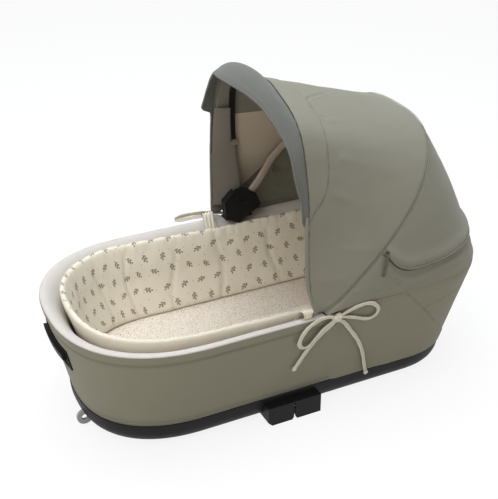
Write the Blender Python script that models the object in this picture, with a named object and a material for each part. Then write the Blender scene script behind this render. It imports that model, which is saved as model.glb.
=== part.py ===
# Carrycot with a folding canopy. Metres, +Z up, floor at z = 0.
# +X is the head (canopy) end, -X the foot end, -Y and +Y the two long sides.
import math

import bmesh
import bpy
from mathutils import Matrix, Vector

# Tub outline
cot_length = 0.842
cot_width = 0.440
rim_height = 0.231
cover_bottom = 0.0524
tray_side_inset = 0.0477
tray_foot_inset = 0.0377
tray_head_inset = 0.0441
foot_cap_depth = 0.232
head_cap_depth = 0.190
foot_cap_power = 2.4
head_cap_power = 2.3

# Fits
clearance = 0.0003
overrun = 0.004

# Tray
tray_floor = 0.005
tray_wall = 0.003
tray_lip = 0.0036
tray_flange_width = 0.030
tray_flange_thickness = 0.003
vent_length = 0.060
vent_width = 0.007
vent_pitch_x = 0.095
vent_offset_y = 0.062
pad_length = 0.040
pad_width = 0.016
pad_recess = 0.0012
pad_end_reach = 0.166
pad_place_x = cot_length / 2 - pad_end_reach
pad_place_y = 0.050

# Side wall, cover, hem, rim and lining: depths in from the rim's outer face
cover_depth = 0.0012
cover_thickness = 0.0022
hem_height = 0.020
hem_thickness = 0.0034
rim_roll = 0.0023
wall_thickness = 0.010
frame_radius = 0.006
frame_depth = 0.0100
rim_width = 0.0120
lining_cloth = 0.0023
lining_bulge = 0.0350
lining_bulge_drop = 0.051
lining_bulge_height = rim_height - lining_bulge_drop
lining_bulge_flat = 0.020

# Mattress, its board and the padded liner
board_thickness = 0.003
board_inset = 0.066
mattress_inset = 0.072
mattress_thickness = 0.0270
mattress_crown = 0.0040
mattress_edge_radius = 0.006
mattress_pinch = 0.0020
liner_gap = 0.0015
liner_roll_radius = 0.006
liner_foot_depth = 0.042
liner_foot_thickness = 0.012
liner_rise_foot_end = 0.0034
liner_drop_head_end = 0.0052
liner_high_reach = 0.171
liner_low_reach = 0.391
liner_top_foot_end = rim_height + liner_rise_foot_end
liner_top_head_end = rim_height - liner_drop_head_end
liner_high_x = liner_high_reach - cot_length / 2
liner_low_x = liner_low_reach - cot_length / 2

# Canopy hinge axis and the hub parts on it
hub_x = 0.0456
hub_rise = 0.0385
hub_z = rim_height + hub_rise
bracket_inset = 0.0275
bracket_face = cot_width / 2 - bracket_inset
bracket_thickness = 0.004
bracket_flange_length = 0.060
bracket_flange_thickness = 0.0028
hub_depth = 0.018
cover_face = bracket_face - hub_depth
hub_wall = 0.0025
hub_half_width = 0.0425
hub_half_height = 0.0410
lug_radius = 0.013
lug_thickness = 0.0046
pin_radius = 0.005
pin_head_radius = 0.0075
pin_head = 0.0010
bore_gap = 0.0004
button_radius = 0.0105
button_proud = 0.0018
button_flange = 0.0020
button_flange_thickness = 0.0010

# Bows
bow_width = 0.012
bow_thickness = 0.0034
bow_margin = 0.0054
lean_start = 0.050
lean_end = 0.140
sleeve_thickness = 0.0008
sleeve_gap = 0.0003
front_bow_tilt = math.radians(-6.6)
mid_bow_tilt = math.radians(45.0)

# Canopy cloth. The front edge is one side of it, from the rim up to the crown, chosen by hand:
# x, distance in from the cot's side and height above the canopy's base
canopy_base_rise = 0.0095
canopy_base = rim_height + canopy_base_rise
cloth_thickness = 0.0025
front_edge_route = [
    (-0.0050, 0.0003, 0.0000), (-0.0085, 0.0080, 0.0215), (-0.0105, 0.0150, 0.0495),
    (-0.0120, 0.0190, 0.0895), (-0.0125, 0.0200, 0.1195), (-0.0125, 0.0210, 0.1475),
    (-0.0122, 0.0222, 0.1795), (-0.0120, 0.0244, 0.2045), (-0.0120, 0.0285, 0.2265),
    (-0.0120, 0.0330, 0.2445), (-0.0120, 0.0385, 0.2645), (-0.0120, 0.0445, 0.2845),
    (-0.0115, 0.0540, 0.3025), (-0.0105, 0.0670, 0.3175), (-0.0075, 0.0870, 0.3285),
    (-0.0025, 0.1150, 0.3360), (0.0015, 0.1450, 0.3420), (0.0050, 0.1750, 0.3475),
    (0.0085, 0.2000, 0.3510), (0.0100, 0.2200, 0.3520),
]
seam_base_x = 0.011
seam_overhang = 0.008
seam_half_width = cot_width / 2 + seam_overhang
seam_height = 0.382
seam_side_power = 3.0
seam_top_power = 2.5
seam_crown_tilt = math.radians(44.7)
seam_side_tilt = math.radians(50.5)
rear_base_start_x = 0.030
flare_height = 0.060
front_bulge = 0.004
front_pinch = 0.014
rear_bulge = 0.008
canopy_centre_x = 0.100
canopy_centre_rise = 0.060
canopy_centre_z = canopy_base + canopy_centre_rise

# Visor: its free edge on one side, from its lower end up to the crown, given as the front edge is
visor_gap = 0.0014
visor_rise = 0.024
visor_rise_reach = 0.150
visor_thickness = 0.0032
visor_edge_route = [
    (-0.0195, 0.0270, 0.1495), (-0.0215, 0.0275, 0.1795), (-0.0243, 0.0285, 0.2054),
    (-0.0300, 0.0310, 0.2295), (-0.0335, 0.0365, 0.2520), (-0.0338, 0.0450, 0.2735),
    (-0.0350, 0.0560, 0.2898), (-0.0373, 0.0700, 0.3049), (-0.0425, 0.0910, 0.3236),
    (-0.0485, 0.1140, 0.3393), (-0.0531, 0.1300, 0.3485), (-0.0631, 0.1570, 0.3594),
    (-0.0770, 0.1900, 0.3685), (-0.0830, 0.2200, 0.3715),
]

# Skirt and zip
skirt_start_x = 0.040
skirt_thickness = 0.0022
skirt_shoulder = 0.0010
zip_radius = 0.0016
zip_lift = 0.0009
zip_high_rise = 0.0895
zip_low_rise = 0.0455
zip_start_reach = 0.293
zip_level_reach = 0.210
zip_high = canopy_base + zip_high_rise
zip_low = canopy_base + zip_low_rise
zip_start_x = cot_length / 2 - zip_start_reach
zip_level_x = cot_length / 2 - zip_level_reach
puller_length = 0.040
puller_width = 0.006
puller_thickness = 0.0016
puller_eye = 0.0024
puller_lean = math.radians(6)
puller_side_lean = math.radians(12)
puller_lift = 0.0009

# Snap studs
stud_radius = 0.0055
stud_height = 0.0025
stud_reach = 0.140

# Release grip at the foot end
grip_drop = 0.066
grip_height = rim_height - grip_drop
bezel_half_width = 0.064
bezel_border = 0.006
bezel_proud = 0.003
opening_height = 0.032
opening_half_width = 0.056
grip_bar_height = 0.014
grip_bar_half_width = 0.0570
grip_proud = 0.010
cable_radius = 0.0015
cable_start = 0.016
cable_rise = 0.022

# Adapters on the long sides
adapter_centre_x = -0.0246
adapter_length = 0.110
adapter_bottom = 0.0009
adapter_top = 0.0400
adapter_inset = 0.030
adapter_depth = 0.0204
adapter_seat_depth = 0.040
adapter_outer = cot_width / 2 - adapter_inset
adapter_inner = adapter_outer - adapter_depth
adapter_seat = adapter_outer - adapter_seat_depth
adapter_wall = 0.0028
adapter_slot = 0.0035
adapter_notch = 0.010
adapter_chamfer = 0.008
latch_thickness = 0.0022
latch_bar = 0.0035
latch_length = 0.082
latch_low = 0.009
latch_high = 0.0315

# Grey loop foot under the foot end
loop_radius = 0.0150
loop_hole = 0.0065
loop_thickness = 0.007
loop_inset = 0.043
loop_centre_x = loop_inset - cot_length / 2
loop_centre_y = -0.0300
loop_centre_z = 0.0170

# Cloth tabs of the liner
tab_width = 0.016
tab_thickness = 0.0016
tab_x = -0.016

# Ribbon ties: each strand's points, chosen by hand as steps from its knot
ribbon_radius = 0.0022
knot_length = 0.0078
knot_depth = 0.0040
knot_height = 0.0062
knot_lead = 0.0020
tip_swell_shares = (0.9, 1.9, 1.0)
knot_x = 0.0355
knot_proud = 0.0054
knot_drop = 0.0038
near_knot = (knot_x, -cot_width / 2 - knot_proud, rim_height - knot_drop)
far_knot = (knot_x, cot_width / 2 + knot_proud, rim_height - knot_drop)
loop_high_route = [
    (0.0100, -0.0021, 0.0046), (0.0165, -0.0026, 0.0080), (0.0246, -0.0035, 0.0113),
    (0.0355, -0.0042, 0.0145), (0.0472, -0.0045, 0.0161), (0.0590, -0.0043, 0.0156),
    (0.0705, -0.0034, 0.0113), (0.0810, -0.0009, 0.0013), (0.0857, 0.0014, -0.0077),
    (0.0845, 0.0032, -0.0167), (0.0775, 0.0042, -0.0227), (0.0665, 0.0045, -0.0237),
    (0.0524, 0.0036, -0.0187), (0.0385, 0.0022, -0.0122), (0.0250, 0.0006, -0.0062),
    (0.0107, -0.0006, -0.0020),
]
loop_low_route = [
    (-0.0097, -0.0018, 0.0040), (-0.0205, -0.0021, 0.0073), (-0.0316, -0.0018, 0.0073),
    (-0.0440, -0.0008, 0.0028), (-0.0560, 0.0014, -0.0057), (-0.0640, 0.0042, -0.0172),
    (-0.0685, 0.0076, -0.0307), (-0.0690, 0.0109, -0.0432), (-0.0633, 0.0136, -0.0532),
    (-0.0535, 0.0144, -0.0564), (-0.0445, 0.0131, -0.0512), (-0.0373, 0.0099, -0.0392),
    (-0.0280, 0.0064, -0.0252), (-0.0190, 0.0032, -0.0142), (-0.0093, 0.0008, -0.0060),
]
tail_low_route = [
    (-0.0008, 0.0018, -0.0077), (-0.0115, 0.0048, -0.0177), (-0.0225, 0.0082, -0.0287),
    (-0.0330, 0.0116, -0.0407), (-0.0435, 0.0160, -0.0572), (-0.0520, 0.0202, -0.0727),
    (-0.0590, 0.0244, -0.0887), (-0.0645, 0.0279, -0.1017), (-0.0680, 0.0300, -0.1085),
]
tail_high_route = [
    (0.0070, 0.0018, -0.0082), (0.0155, 0.0042, -0.0162), (0.0255, 0.0079, -0.0292),
    (0.0365, 0.0119, -0.0457), (0.0474, 0.0163, -0.0622), (0.0575, 0.0211, -0.0802),
    (0.0665, 0.0260, -0.0992), (0.0740, 0.0310, -0.1192), (0.0795, 0.0362, -0.1392),
    (0.0840, 0.0404, -0.1552), (0.0890, 0.0441, -0.1685),
]
far_loop_route = [
    (-0.0097, 0.0018, 0.0040), (-0.0175, 0.0022, 0.0068), (-0.0243, 0.0026, 0.0088),
    (-0.0345, 0.0031, 0.0110), (-0.0475, 0.0036, 0.0130), (-0.0635, 0.0040, 0.0150),
    (-0.0805, 0.0042, 0.0162), (-0.0965, 0.0040, 0.0165), (-0.1105, 0.0032, 0.0148),
    (-0.1193, 0.0020, 0.0098), (-0.1197, 0.0008, 0.0040), (-0.1115, 0.0001, 0.0000),
    (-0.0965, -0.0002, -0.0017), (-0.0805, -0.0004, -0.0024), (-0.0635, -0.0004, -0.0026),
    (-0.0475, -0.0004, -0.0027), (-0.0355, -0.0004, -0.0030), (-0.0235, -0.0004, -0.0036),
    (-0.0093, -0.0004, -0.0046),
]

# Counts
ring_points = 44
arch_points = 33
cloth_rows = 5
dense_steps = 90


def clear_scene():
    for item in list(bpy.data.objects):
        bpy.data.objects.remove(item, do_unlink=True)


def make_collection(name):
    collection = bpy.data.collections.new(name)
    bpy.context.scene.collection.children.link(collection)
    return collection


clear_scene()
parts = make_collection("carrycot")
cutters = make_collection("cutters")


def plain_material(name, colour, roughness, metallic=0.0):
    material = bpy.data.materials.new(name)
    material.use_nodes = True
    shader = material.node_tree.nodes["Principled BSDF"]
    shader.inputs["Base Color"].default_value = (*colour, 1.0)
    shader.inputs["Roughness"].default_value = roughness
    shader.inputs["Metallic"].default_value = metallic
    return material


sage_cloth = plain_material("sage_cloth", (0.19, 0.19, 0.14), 0.85)
pale_cloth = plain_material("pale_cloth", (0.56, 0.50, 0.44), 0.9)
cream_cloth = plain_material("cream_cloth", (0.66, 0.58, 0.47), 0.9)
beige_cloth = plain_material("beige_cloth", (0.47, 0.40, 0.33), 0.9)
black_plastic = plain_material("black_plastic", (0.022, 0.020, 0.021), 0.45)
grey_plastic = plain_material("grey_plastic", (0.33, 0.33, 0.35), 0.4)
black_rubber = plain_material("black_rubber", (0.02, 0.02, 0.02), 0.8)
steel = plain_material("steel", (0.6, 0.6, 0.6), 0.3, 1.0)
foam_board = plain_material("foam_board", (0.5, 0.5, 0.48), 0.9)


def add_mesh(name, mesh, material, collection=parts):
    item = bpy.data.objects.new(name, mesh)
    collection.objects.link(item)
    mesh.materials.clear()
    mesh.materials.append(material)
    return item


def finish_bmesh(name, shape, material, closed=True, collection=parts):
    if closed:
        bmesh.ops.recalc_face_normals(shape, faces=shape.faces)
    mesh = bpy.data.meshes.new(name)
    shape.to_mesh(mesh)
    shape.free()
    return add_mesh(name, mesh, material, collection)


def add_modifier(item, name, kind, **settings):
    modifier = item.modifiers.new(name, kind)
    for key, value in settings.items():
        setattr(modifier, key, value)
    return modifier


def boolean(item, cutter, operation="DIFFERENCE"):
    cutter.hide_render = True
    cutter.display_type = "WIRE"
    return add_modifier(item, cutter.name, "BOOLEAN", object=cutter, operation=operation, solver="EXACT")


def resample(points, count):
    """Points at equal steps along a polyline, both ends kept."""
    points = [Vector(point) for point in points]
    lengths = [0.0]
    for a, b in zip(points, points[1:]):
        lengths.append(lengths[-1] + (b - a).length)
    result = []
    segment = 0
    for step in range(count):
        target = lengths[-1] * step / (count - 1)
        while segment < len(points) - 2 and lengths[segment + 1] < target:
            segment += 1
        span = lengths[segment + 1] - lengths[segment]
        share = (target - lengths[segment]) / span if span else 0.0
        result.append(points[segment].lerp(points[segment + 1], min(max(share, 0.0), 1.0)))
    return result


def power_quarter(reach_a, reach_b, power_a, power_b, steps=dense_steps):
    """A quarter of a superellipse, from the top (0, reach_b) to the side (reach_a, 0)."""
    points = []
    for step in range(steps + 1):
        angle = math.pi / 2 * step / steps
        across = reach_a * abs(math.sin(angle)) ** (2 / power_a)
        along = reach_b * abs(math.cos(angle)) ** (2 / power_b)
        points.append((across, along))
    return points


def cap_shares(power):
    """A quarter of an end cap as (along, across) shares, from its tip to its side."""
    return [(along, across) for across, along in power_quarter(1.0, 1.0, power, power)]


def half_shares():
    """The +Y half of the tub's outline from the head tip to the foot tip.

    Each entry is (head cap share, foot cap share, share of the way from head to foot, width share).
    """
    head = [Vector((along, 0.0, 0.0, across)) for along, across in cap_shares(head_cap_power)]
    foot = [Vector((0.0, along, 1.0, across)) for along, across in reversed(cap_shares(foot_cap_power))]
    return head + foot


def plan_point(shares, side_inset, foot_inset, head_inset):
    head_join = cot_length / 2 - head_cap_depth
    foot_join = -cot_length / 2 + foot_cap_depth
    middle = head_join + (foot_join - head_join) * shares[2]
    x = middle + shares[0] * (head_cap_depth - head_inset) - shares[1] * (foot_cap_depth - foot_inset)
    return Vector((x, shares[3] * (cot_width / 2 - side_inset)))


def even_shares(half, count):
    """Shares at equal steps along the rim's outline."""
    half = list(half)
    places = [plan_point(shares, 0.0, 0.0, 0.0) for shares in half]
    lengths = [0.0]
    for a, b in zip(places, places[1:]):
        lengths.append(lengths[-1] + (b - a).length)
    result = []
    for step in range(count):
        target = lengths[-1] * step / (count - 1)
        segment = 0
        while segment < len(half) - 2 and lengths[segment + 1] < target:
            segment += 1
        span = lengths[segment + 1] - lengths[segment]
        share = (target - lengths[segment]) / span if span else 0.0
        result.append(half[segment].lerp(half[segment + 1], min(max(share, 0.0), 1.0)))
    return result


ring_shares = even_shares(half_shares(), ring_points // 2 + 1)


def plan_ring(side_inset, foot_inset, head_inset):
    half = [plan_point(shares, side_inset, foot_inset, head_inset) for shares in ring_shares]
    mirrored = [Vector((point.x, -point.y)) for point in reversed(half[1:-1])]
    return half + mirrored


def wall_insets(height, depth):
    """How far the sloping wall lies in from the rim's outline, at a height and a depth into it."""
    share = (rim_height - height) / (rim_height - cover_bottom)
    return (tray_side_inset * share + depth, tray_foot_inset * share + depth, tray_head_inset * share + depth)


def wall_ring(height, depth):
    return [Vector((point.x, point.y, height)) for point in plan_ring(*wall_insets(height, depth))]


def flat_ring(height, inset):
    return [Vector((point.x, point.y, height)) for point in plan_ring(inset, inset, inset)]


def head_shares(start_x, count):
    """Shares of the outline's +Y half from the head tip back to start_x."""
    half = half_shares()
    kept = [shares for shares in half if plan_point(shares, 0.0, 0.0, 0.0).x >= start_x]
    last, following = kept[-1], half[len(kept)]
    a = plan_point(last, 0.0, 0.0, 0.0).x
    b = plan_point(following, 0.0, 0.0, 0.0).x
    kept.append(last.lerp(following, (a - start_x) / (a - b)))
    return even_shares(kept, count // 2 + 1)


def head_path(height, depth, start_x, count):
    """The wall's outline from start_x on the near side, round the head, to start_x on the far side."""
    insets = wall_insets(height, depth)
    half = [plan_point(shares, *insets) for shares in head_shares(start_x, count)]
    near = [Vector((point.x, -point.y, height)) for point in reversed(half)]
    return near + [Vector((point.x, point.y, height)) for point in half[1:]]


def foot_path(height, depth, limit_y, count):
    """The wall's outline across the foot end, out to limit_y on both sides at the rim."""
    half = half_shares()
    limit = limit_y / (cot_width / 2)
    kept = [shares for shares in half if shares[1] > 0.5 and shares[3] < limit]
    before = half[len(half) - len(kept) - 1]
    share = (limit - kept[0][3]) / (before[3] - kept[0][3])
    kept = even_shares([kept[0].lerp(before, share)] + kept, count // 2 + 1)
    insets = wall_insets(height, depth)
    half = [plan_point(shares, *insets) for shares in kept]
    near = [Vector((point.x, -point.y, height)) for point in reversed(half)]
    return [Vector((point.x, point.y, height)) for point in half] + near[1:]


def loft(rows, wrap_rows=False, wrap_points=True, cap=False):
    """Skin rows of points that all have the same count."""
    shape = bmesh.new()
    grid = [[shape.verts.new(point) for point in row] for row in rows]
    row_pairs = list(zip(grid, grid[1:]))
    if wrap_rows:
        row_pairs.append((grid[-1], grid[0]))
    count = len(grid[0])
    for lower, upper in row_pairs:
        for index in range(count if wrap_points else count - 1):
            following = (index + 1) % count
            shape.faces.new((lower[index], lower[following], upper[following], upper[index]))
    if cap:
        shape.faces.new(grid[0])
        shape.faces.new(grid[-1])
    return shape


def ring_shell(name, rings, material, closed_section=True):
    """A wall that goes all the way round, or a tub when its two end rings are capped."""
    shape = loft(rings, wrap_rows=closed_section, cap=not closed_section)
    item = finish_bmesh(name, shape, material)
    shade(item)
    add_modifier(item, "flat_faces", "TRIANGULATE", quad_method="SHORTEST_DIAGONAL")
    return item


def shade(item, angle=math.radians(40)):
    item.data.shade_smooth()
    item.data.set_sharp_from_angle(angle=angle)


def prism(name, outline, depth, material, collection=parts):
    """Flat outline in XZ, made solid along Y by a 2D curve's extrude, centred on y = 0."""
    curve = bpy.data.curves.new(name, "CURVE")
    curve.dimensions = "2D"
    curve.fill_mode = "BOTH"
    curve.extrude = depth / 2
    spline = curve.splines.new("POLY")
    spline.points.add(len(outline) - 1)
    for point, (x, z) in zip(spline.points, outline):
        point.co = (x, z, 0.0, 1.0)
    spline.use_cyclic_u = True
    return curve_to_mesh(name, curve, Matrix.Rotation(math.pi / 2, 4, "X"), material, collection)


def curve_to_mesh(name, curve, matrix, material, collection=parts):
    item = bpy.data.objects.new(name + "_curve", curve)
    bpy.context.scene.collection.objects.link(item)
    bpy.context.view_layer.update()
    evaluated = item.evaluated_get(bpy.context.evaluated_depsgraph_get())
    mesh = bpy.data.meshes.new_from_object(evaluated)
    bpy.data.objects.remove(item, do_unlink=True)
    shape = bmesh.new()
    shape.from_mesh(mesh)
    bmesh.ops.remove_doubles(shape, verts=shape.verts, dist=clearance / 10)
    bmesh.ops.recalc_face_normals(shape, faces=shape.faces)
    shape.transform(matrix)
    shape.to_mesh(mesh)
    shape.free()
    return add_mesh(name, mesh, material, collection)


def tube(name, points, radius, material, sides=2, cyclic=False, swell=(), collection=parts):
    curve = bpy.data.curves.new(name, "CURVE")
    curve.dimensions = "3D"
    curve.bevel_depth = radius
    curve.bevel_resolution = sides
    curve.use_fill_caps = not cyclic
    spline = curve.splines.new("POLY")
    spline.points.add(len(points) - 1)
    for point, place in zip(spline.points, points):
        point.co = (*place, 1.0)
    for point, share in zip(reversed(spline.points), swell):
        point.radius = share
    spline.use_cyclic_u = cyclic
    item = curve_to_mesh(name, curve, Matrix.Identity(4), material, collection)
    shade(item)
    return item


def box(name, low, high, material, collection=parts):
    shape = bmesh.new()
    bmesh.ops.create_cube(shape, size=1.0)
    size = [b - a for a, b in zip(low, high)]
    middle = [(a + b) / 2 for a, b in zip(low, high)]
    bmesh.ops.scale(shape, vec=size, verts=shape.verts)
    bmesh.ops.translate(shape, vec=middle, verts=shape.verts)
    return finish_bmesh(name, shape, material, collection=collection)


def cylinder(name, radius, low, high, material, centre=(0.0, 0.0), axis="Y", sides=24, collection=parts):
    """A cylinder along Y (centre is x, z) or along Z (centre is x, y), from low to high."""
    shape = bmesh.new()
    bmesh.ops.create_cone(
        shape, cap_ends=True, segments=sides, radius1=radius, radius2=radius, depth=abs(high - low)
    )
    middle = (low + high) / 2
    if axis == "Y":
        bmesh.ops.rotate(shape, matrix=Matrix.Rotation(math.pi / 2, 3, "X"), verts=shape.verts)
        bmesh.ops.translate(shape, vec=(centre[0], middle, centre[1]), verts=shape.verts)
    else:
        bmesh.ops.translate(shape, vec=(centre[0], centre[1], middle), verts=shape.verts)
    item = finish_bmesh(name, shape, material, collection=collection)
    shade(item)
    return item


def apply_modifiers(item):
    """Bake an object's modifiers into its mesh, for a shape that is cut again or joined."""
    bpy.context.view_layer.update()
    evaluated = item.evaluated_get(bpy.context.evaluated_depsgraph_get())
    mesh = bpy.data.meshes.new_from_object(evaluated)
    item.modifiers.clear()
    item.data = mesh
    return item


# Tray: a moulded pan whose rounded underside draws in below the cover
tray_top = cover_bottom - clearance
tray_inner_flange = tray_top + tray_lip
tray_drops = [
    (tray_top, 0.0000),
    (0.0400, 0.0005),
    (0.0300, 0.0020),
    (0.0210, 0.0060),
    (0.0135, 0.0130),
    (0.0080, 0.0240),
    (tray_floor, 0.0400),
]


def tray_ring(height, extra):
    base = wall_insets(cover_bottom, extra)
    return [Vector((point.x, point.y, height)) for point in plan_ring(*base)]


def build_tray():
    outer = [tray_ring(height, extra) for height, extra in reversed(tray_drops)]
    inner = [tray_ring(height + tray_wall, extra + tray_wall) for height, extra in tray_drops[1:]]
    step = tray_lip + clearance
    rim = [
        tray_ring(tray_top, step),
        tray_ring(tray_inner_flange, step),
        tray_ring(tray_inner_flange, tray_flange_width),
        tray_ring(tray_inner_flange - tray_flange_thickness, tray_flange_width),
        tray_ring(tray_inner_flange - tray_flange_thickness, step + tray_wall),
    ]
    tray = ring_shell("base_tray", outer + rim + inner, black_plastic, closed_section=False)
    slots = []
    for row in (-1, 0, 1):
        for column in (-2, -1, 0, 1, 2):
            centre = (column * vent_pitch_x, row * vent_offset_y)
            slots.append(vent_cutter(centre, len(slots)))
    cutter = join_cutters("vent_cutters", slots)
    boolean(tray, cutter)
    boolean(tray, join_cutters("pad_cutters", [pad_solid("pad_cut", x, y, clearance) for x, y in pad_places()]))
    return tray


def vent_cutter(centre, index):
    outline = []
    half = (vent_length - vent_width) / 2
    for step in range(5):
        angle = -math.pi / 2 + math.pi * step / 4
        outline.append((half + math.cos(angle) * vent_width / 2, math.sin(angle) * vent_width / 2))
    outline += [(-x, -y) for x, y in outline]
    slot = prism("vent_%d" % index, outline, tray_wall + 2 * overrun, black_plastic, cutters)
    slot.data.transform(Matrix.Rotation(math.pi / 2, 4, "X"))
    slot.data.transform(Matrix.Translation((centre[0], centre[1], tray_floor + tray_wall / 2)))
    return slot


def join_cutters(name, items):
    shape = bmesh.new()
    for item in items:
        shape.from_mesh(item.data)
        bpy.data.objects.remove(item, do_unlink=True)
    return finish_bmesh(name, shape, black_plastic, collection=cutters)


def pad_places():
    return [(x, y) for x in (-pad_place_x, pad_place_x) for y in (-pad_place_y, pad_place_y)]


def pad_solid(name, x, y, growth=0.0):
    low = (x - pad_length / 2 - growth, y - pad_width / 2 - growth, -growth)
    high = (x + pad_length / 2 + growth, y + pad_width / 2 + growth, tray_floor + pad_recess - clearance + growth)
    return box(name, low, high, black_rubber, cutters if growth else parts)


def build_pads():
    for index, (x, y) in enumerate(pad_places()):
        pad_solid("floor_pad_%d" % (index + 1), x, y)


def build_loop_foot():
    outline = []
    for step in range(ring_points // 2):
        angle = 4 * math.pi * step / ring_points
        outline.append((math.cos(angle) * loop_radius, math.sin(angle) * loop_radius))
    loop = prism("foot_end_loop", outline, loop_thickness, grey_plastic)
    loop.data.transform(Matrix.Translation((loop_centre_x, loop_centre_y, loop_centre_z)))
    hole = cylinder(
        "loop_hole", loop_hole, loop_centre_y - loop_thickness, loop_centre_y + loop_thickness,
        grey_plastic, (loop_centre_x, loop_centre_z), sides=16, collection=cutters,
    )
    boolean(loop, hole)
    boolean(loop, tray_clearance())
    return loop


def tray_clearance():
    """The tray's outside grown by the clearance, to shape what is fixed against it."""
    name = "tray_clearance"
    if name in bpy.data.objects:
        return bpy.data.objects[name]
    rows = [tray_ring(height, extra - clearance * 2) for height, extra in reversed(tray_drops)]
    rows[0] = [point - Vector((0.0, 0.0, clearance)) for point in rows[0]]
    return finish_bmesh(name, loft(rows, cap=True), grey_plastic, collection=cutters)


# Side wall, rim frame, cloth cover and the lining inside
hem_top = rim_height - rim_roll
hem_bottom = hem_top - hem_height
wall_depth = cover_depth + cover_thickness + clearance
wall_inner_depth = wall_depth + wall_thickness
wall_bottom = tray_inner_flange + clearance
wall_top = hem_bottom + overrun


def build_side_wall():
    inner = wall_inner_depth
    rings = [
        wall_ring(wall_bottom, wall_depth), wall_ring(wall_top, wall_depth),
        wall_ring(wall_top, inner), wall_ring(wall_bottom, inner),
    ]
    wall = ring_shell("side_wall", rings, foam_board)
    boolean(wall, opening_cutter())
    return wall


def build_cover():
    outer, inner = cover_depth, cover_depth + cover_thickness
    top = hem_bottom - clearance
    middle = (cover_bottom + top) / 2
    rings = [
        wall_ring(cover_bottom, outer), wall_ring(middle, outer), wall_ring(top, outer),
        wall_ring(top, inner), wall_ring(middle, inner), wall_ring(cover_bottom, inner),
    ]
    cover = ring_shell("outer_cover", rings, sage_cloth)
    boolean(cover, opening_cutter())
    return cover


def build_hem():
    edge = hem_thickness / 3
    rings = [
        wall_ring(hem_bottom, edge), wall_ring(hem_bottom + edge, 0.0), wall_ring(hem_top - edge, 0.0),
        wall_ring(hem_top, edge), wall_ring(hem_top, hem_thickness), wall_ring(hem_bottom, hem_thickness),
    ]
    return ring_shell("hem_band", rings, sage_cloth)


def build_rim_frame():
    height = wall_top + clearance + frame_radius
    return tube("rim_frame", wall_ring(height, frame_depth), frame_radius, steel, cyclic=True)


def build_rim_lining():
    frame_top = wall_top + clearance + 2 * frame_radius + clearance
    frame_inner = frame_depth + frame_radius + clearance
    hem_inner = hem_thickness + clearance
    hidden = wall_inner_depth + clearance
    bottom = wall_bottom + board_thickness + 2 * clearance
    bulge_low = lining_bulge_height - lining_bulge_flat
    slope_height = rim_height - lining_bulge_flat / 2
    slope_depth = (rim_width + lining_bulge) / 2 - lining_cloth
    seen = [
        (hem_top + clearance, clearance),
        (rim_height, lining_cloth),
        (rim_height, rim_width),
        (slope_height, slope_depth),
        (lining_bulge_height, lining_bulge),
        (bulge_low, lining_bulge),
        ((bulge_low + bottom) / 2, (lining_bulge + hidden) / 2),
        (bottom + lining_bulge_flat, hidden + 2 * lining_cloth),
        (bottom, hidden + lining_cloth),
    ]
    unseen = [
        (bottom, hidden),
        (wall_top + clearance, hidden),
        (wall_top + clearance, frame_inner),
        (frame_top, frame_inner),
        (frame_top, hem_inner),
        (hem_top + clearance, hem_inner),
    ]
    return ring_shell("rim_lining", [wall_ring(z, depth) for z, depth in seen + unseen], pale_cloth)


def build_board():
    low = tray_inner_flange + clearance
    rings = [flat_ring(low, board_inset), flat_ring(low + board_thickness, board_inset)]
    return ring_shell("mattress_board", rings, black_plastic, closed_section=False)


mattress_bottom = tray_inner_flange + board_thickness + 2 * clearance
mattress_edge = mattress_bottom + mattress_thickness


def build_mattress():
    radius = mattress_edge_radius
    middle = (mattress_bottom + mattress_edge) / 2
    rings = [
        flat_ring(mattress_bottom, mattress_inset + radius),
        flat_ring(mattress_bottom + radius / 2, mattress_inset),
        flat_ring(middle, mattress_inset + mattress_pinch),
        flat_ring(mattress_edge - radius / 2, mattress_inset),
        flat_ring(mattress_edge, mattress_inset + radius),
        flat_ring(mattress_edge + mattress_crown / 2, mattress_inset + 4 * radius),
        flat_ring(mattress_edge + mattress_crown, mattress_inset + 9 * radius),
    ]
    return ring_shell("mattress", rings, beige_cloth, closed_section=False)


def liner_top(x):
    """The rolled edge's height: a little above the rim at the foot, a little below it beside the hubs."""
    share = (x - liner_high_x) / (liner_low_x - liner_high_x)
    share = min(max(share, 0.0), 1.0)
    return liner_top_foot_end + (liner_top_head_end - liner_top_foot_end) * share


def build_liner():
    """A padded wall that leans out from the mattress to a rolled top edge."""
    base = mattress_edge + mattress_crown / 2 + clearance
    foot = liner_foot_depth
    inner = foot + liner_foot_thickness
    roll = liner_roll_radius
    top = lining_bulge + liner_gap
    middle = (top + 2 * roll + inner) / 2
    section = [
        (0.0, 0.0, foot), (1.0, -roll, top), (1.0, roll * 0.2, top + roll * 0.3), (1.0, roll * 0.6, top + roll),
        (1.0, roll * 0.2, top + roll * 1.7), (1.0, -roll, top + roll * 2), (0.5, 0.0, middle),
        (0.12, 0.0, inner + roll / 2), (0.0, 0.0, inner),
    ]
    rings = []
    for share, extra, depth in section:
        half = []
        for shares in ring_shares:
            x = plan_point(shares, depth, depth, depth).x
            height = base + (liner_top(x) - base) * share + extra
            point = plan_point(shares, *wall_insets(height, depth))
            half.append(Vector((point.x, point.y, height)))
        mirrored = [Vector((point.x, -point.y, point.z)) for point in reversed(half[1:-1])]
        rings.append(half + mirrored)
    return ring_shell("bumper_liner", rings, cream_cloth)


# Canopy cloth: three arches, the front edge, the mid seam and the base on the rim
def arch(half_width, height, side_power, top_power):
    """Half arch from the crown down to the base, as (across, up) pairs, drawn out at the base to the rim."""
    flare = cot_width / 2 - clearance - half_width
    points = []
    for across, up in power_quarter(half_width, height, side_power, top_power):
        near_base = max(0.0, 1.0 - up / flare_height) ** 2
        points.append((across + flare * near_base, up))
    return points


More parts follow.
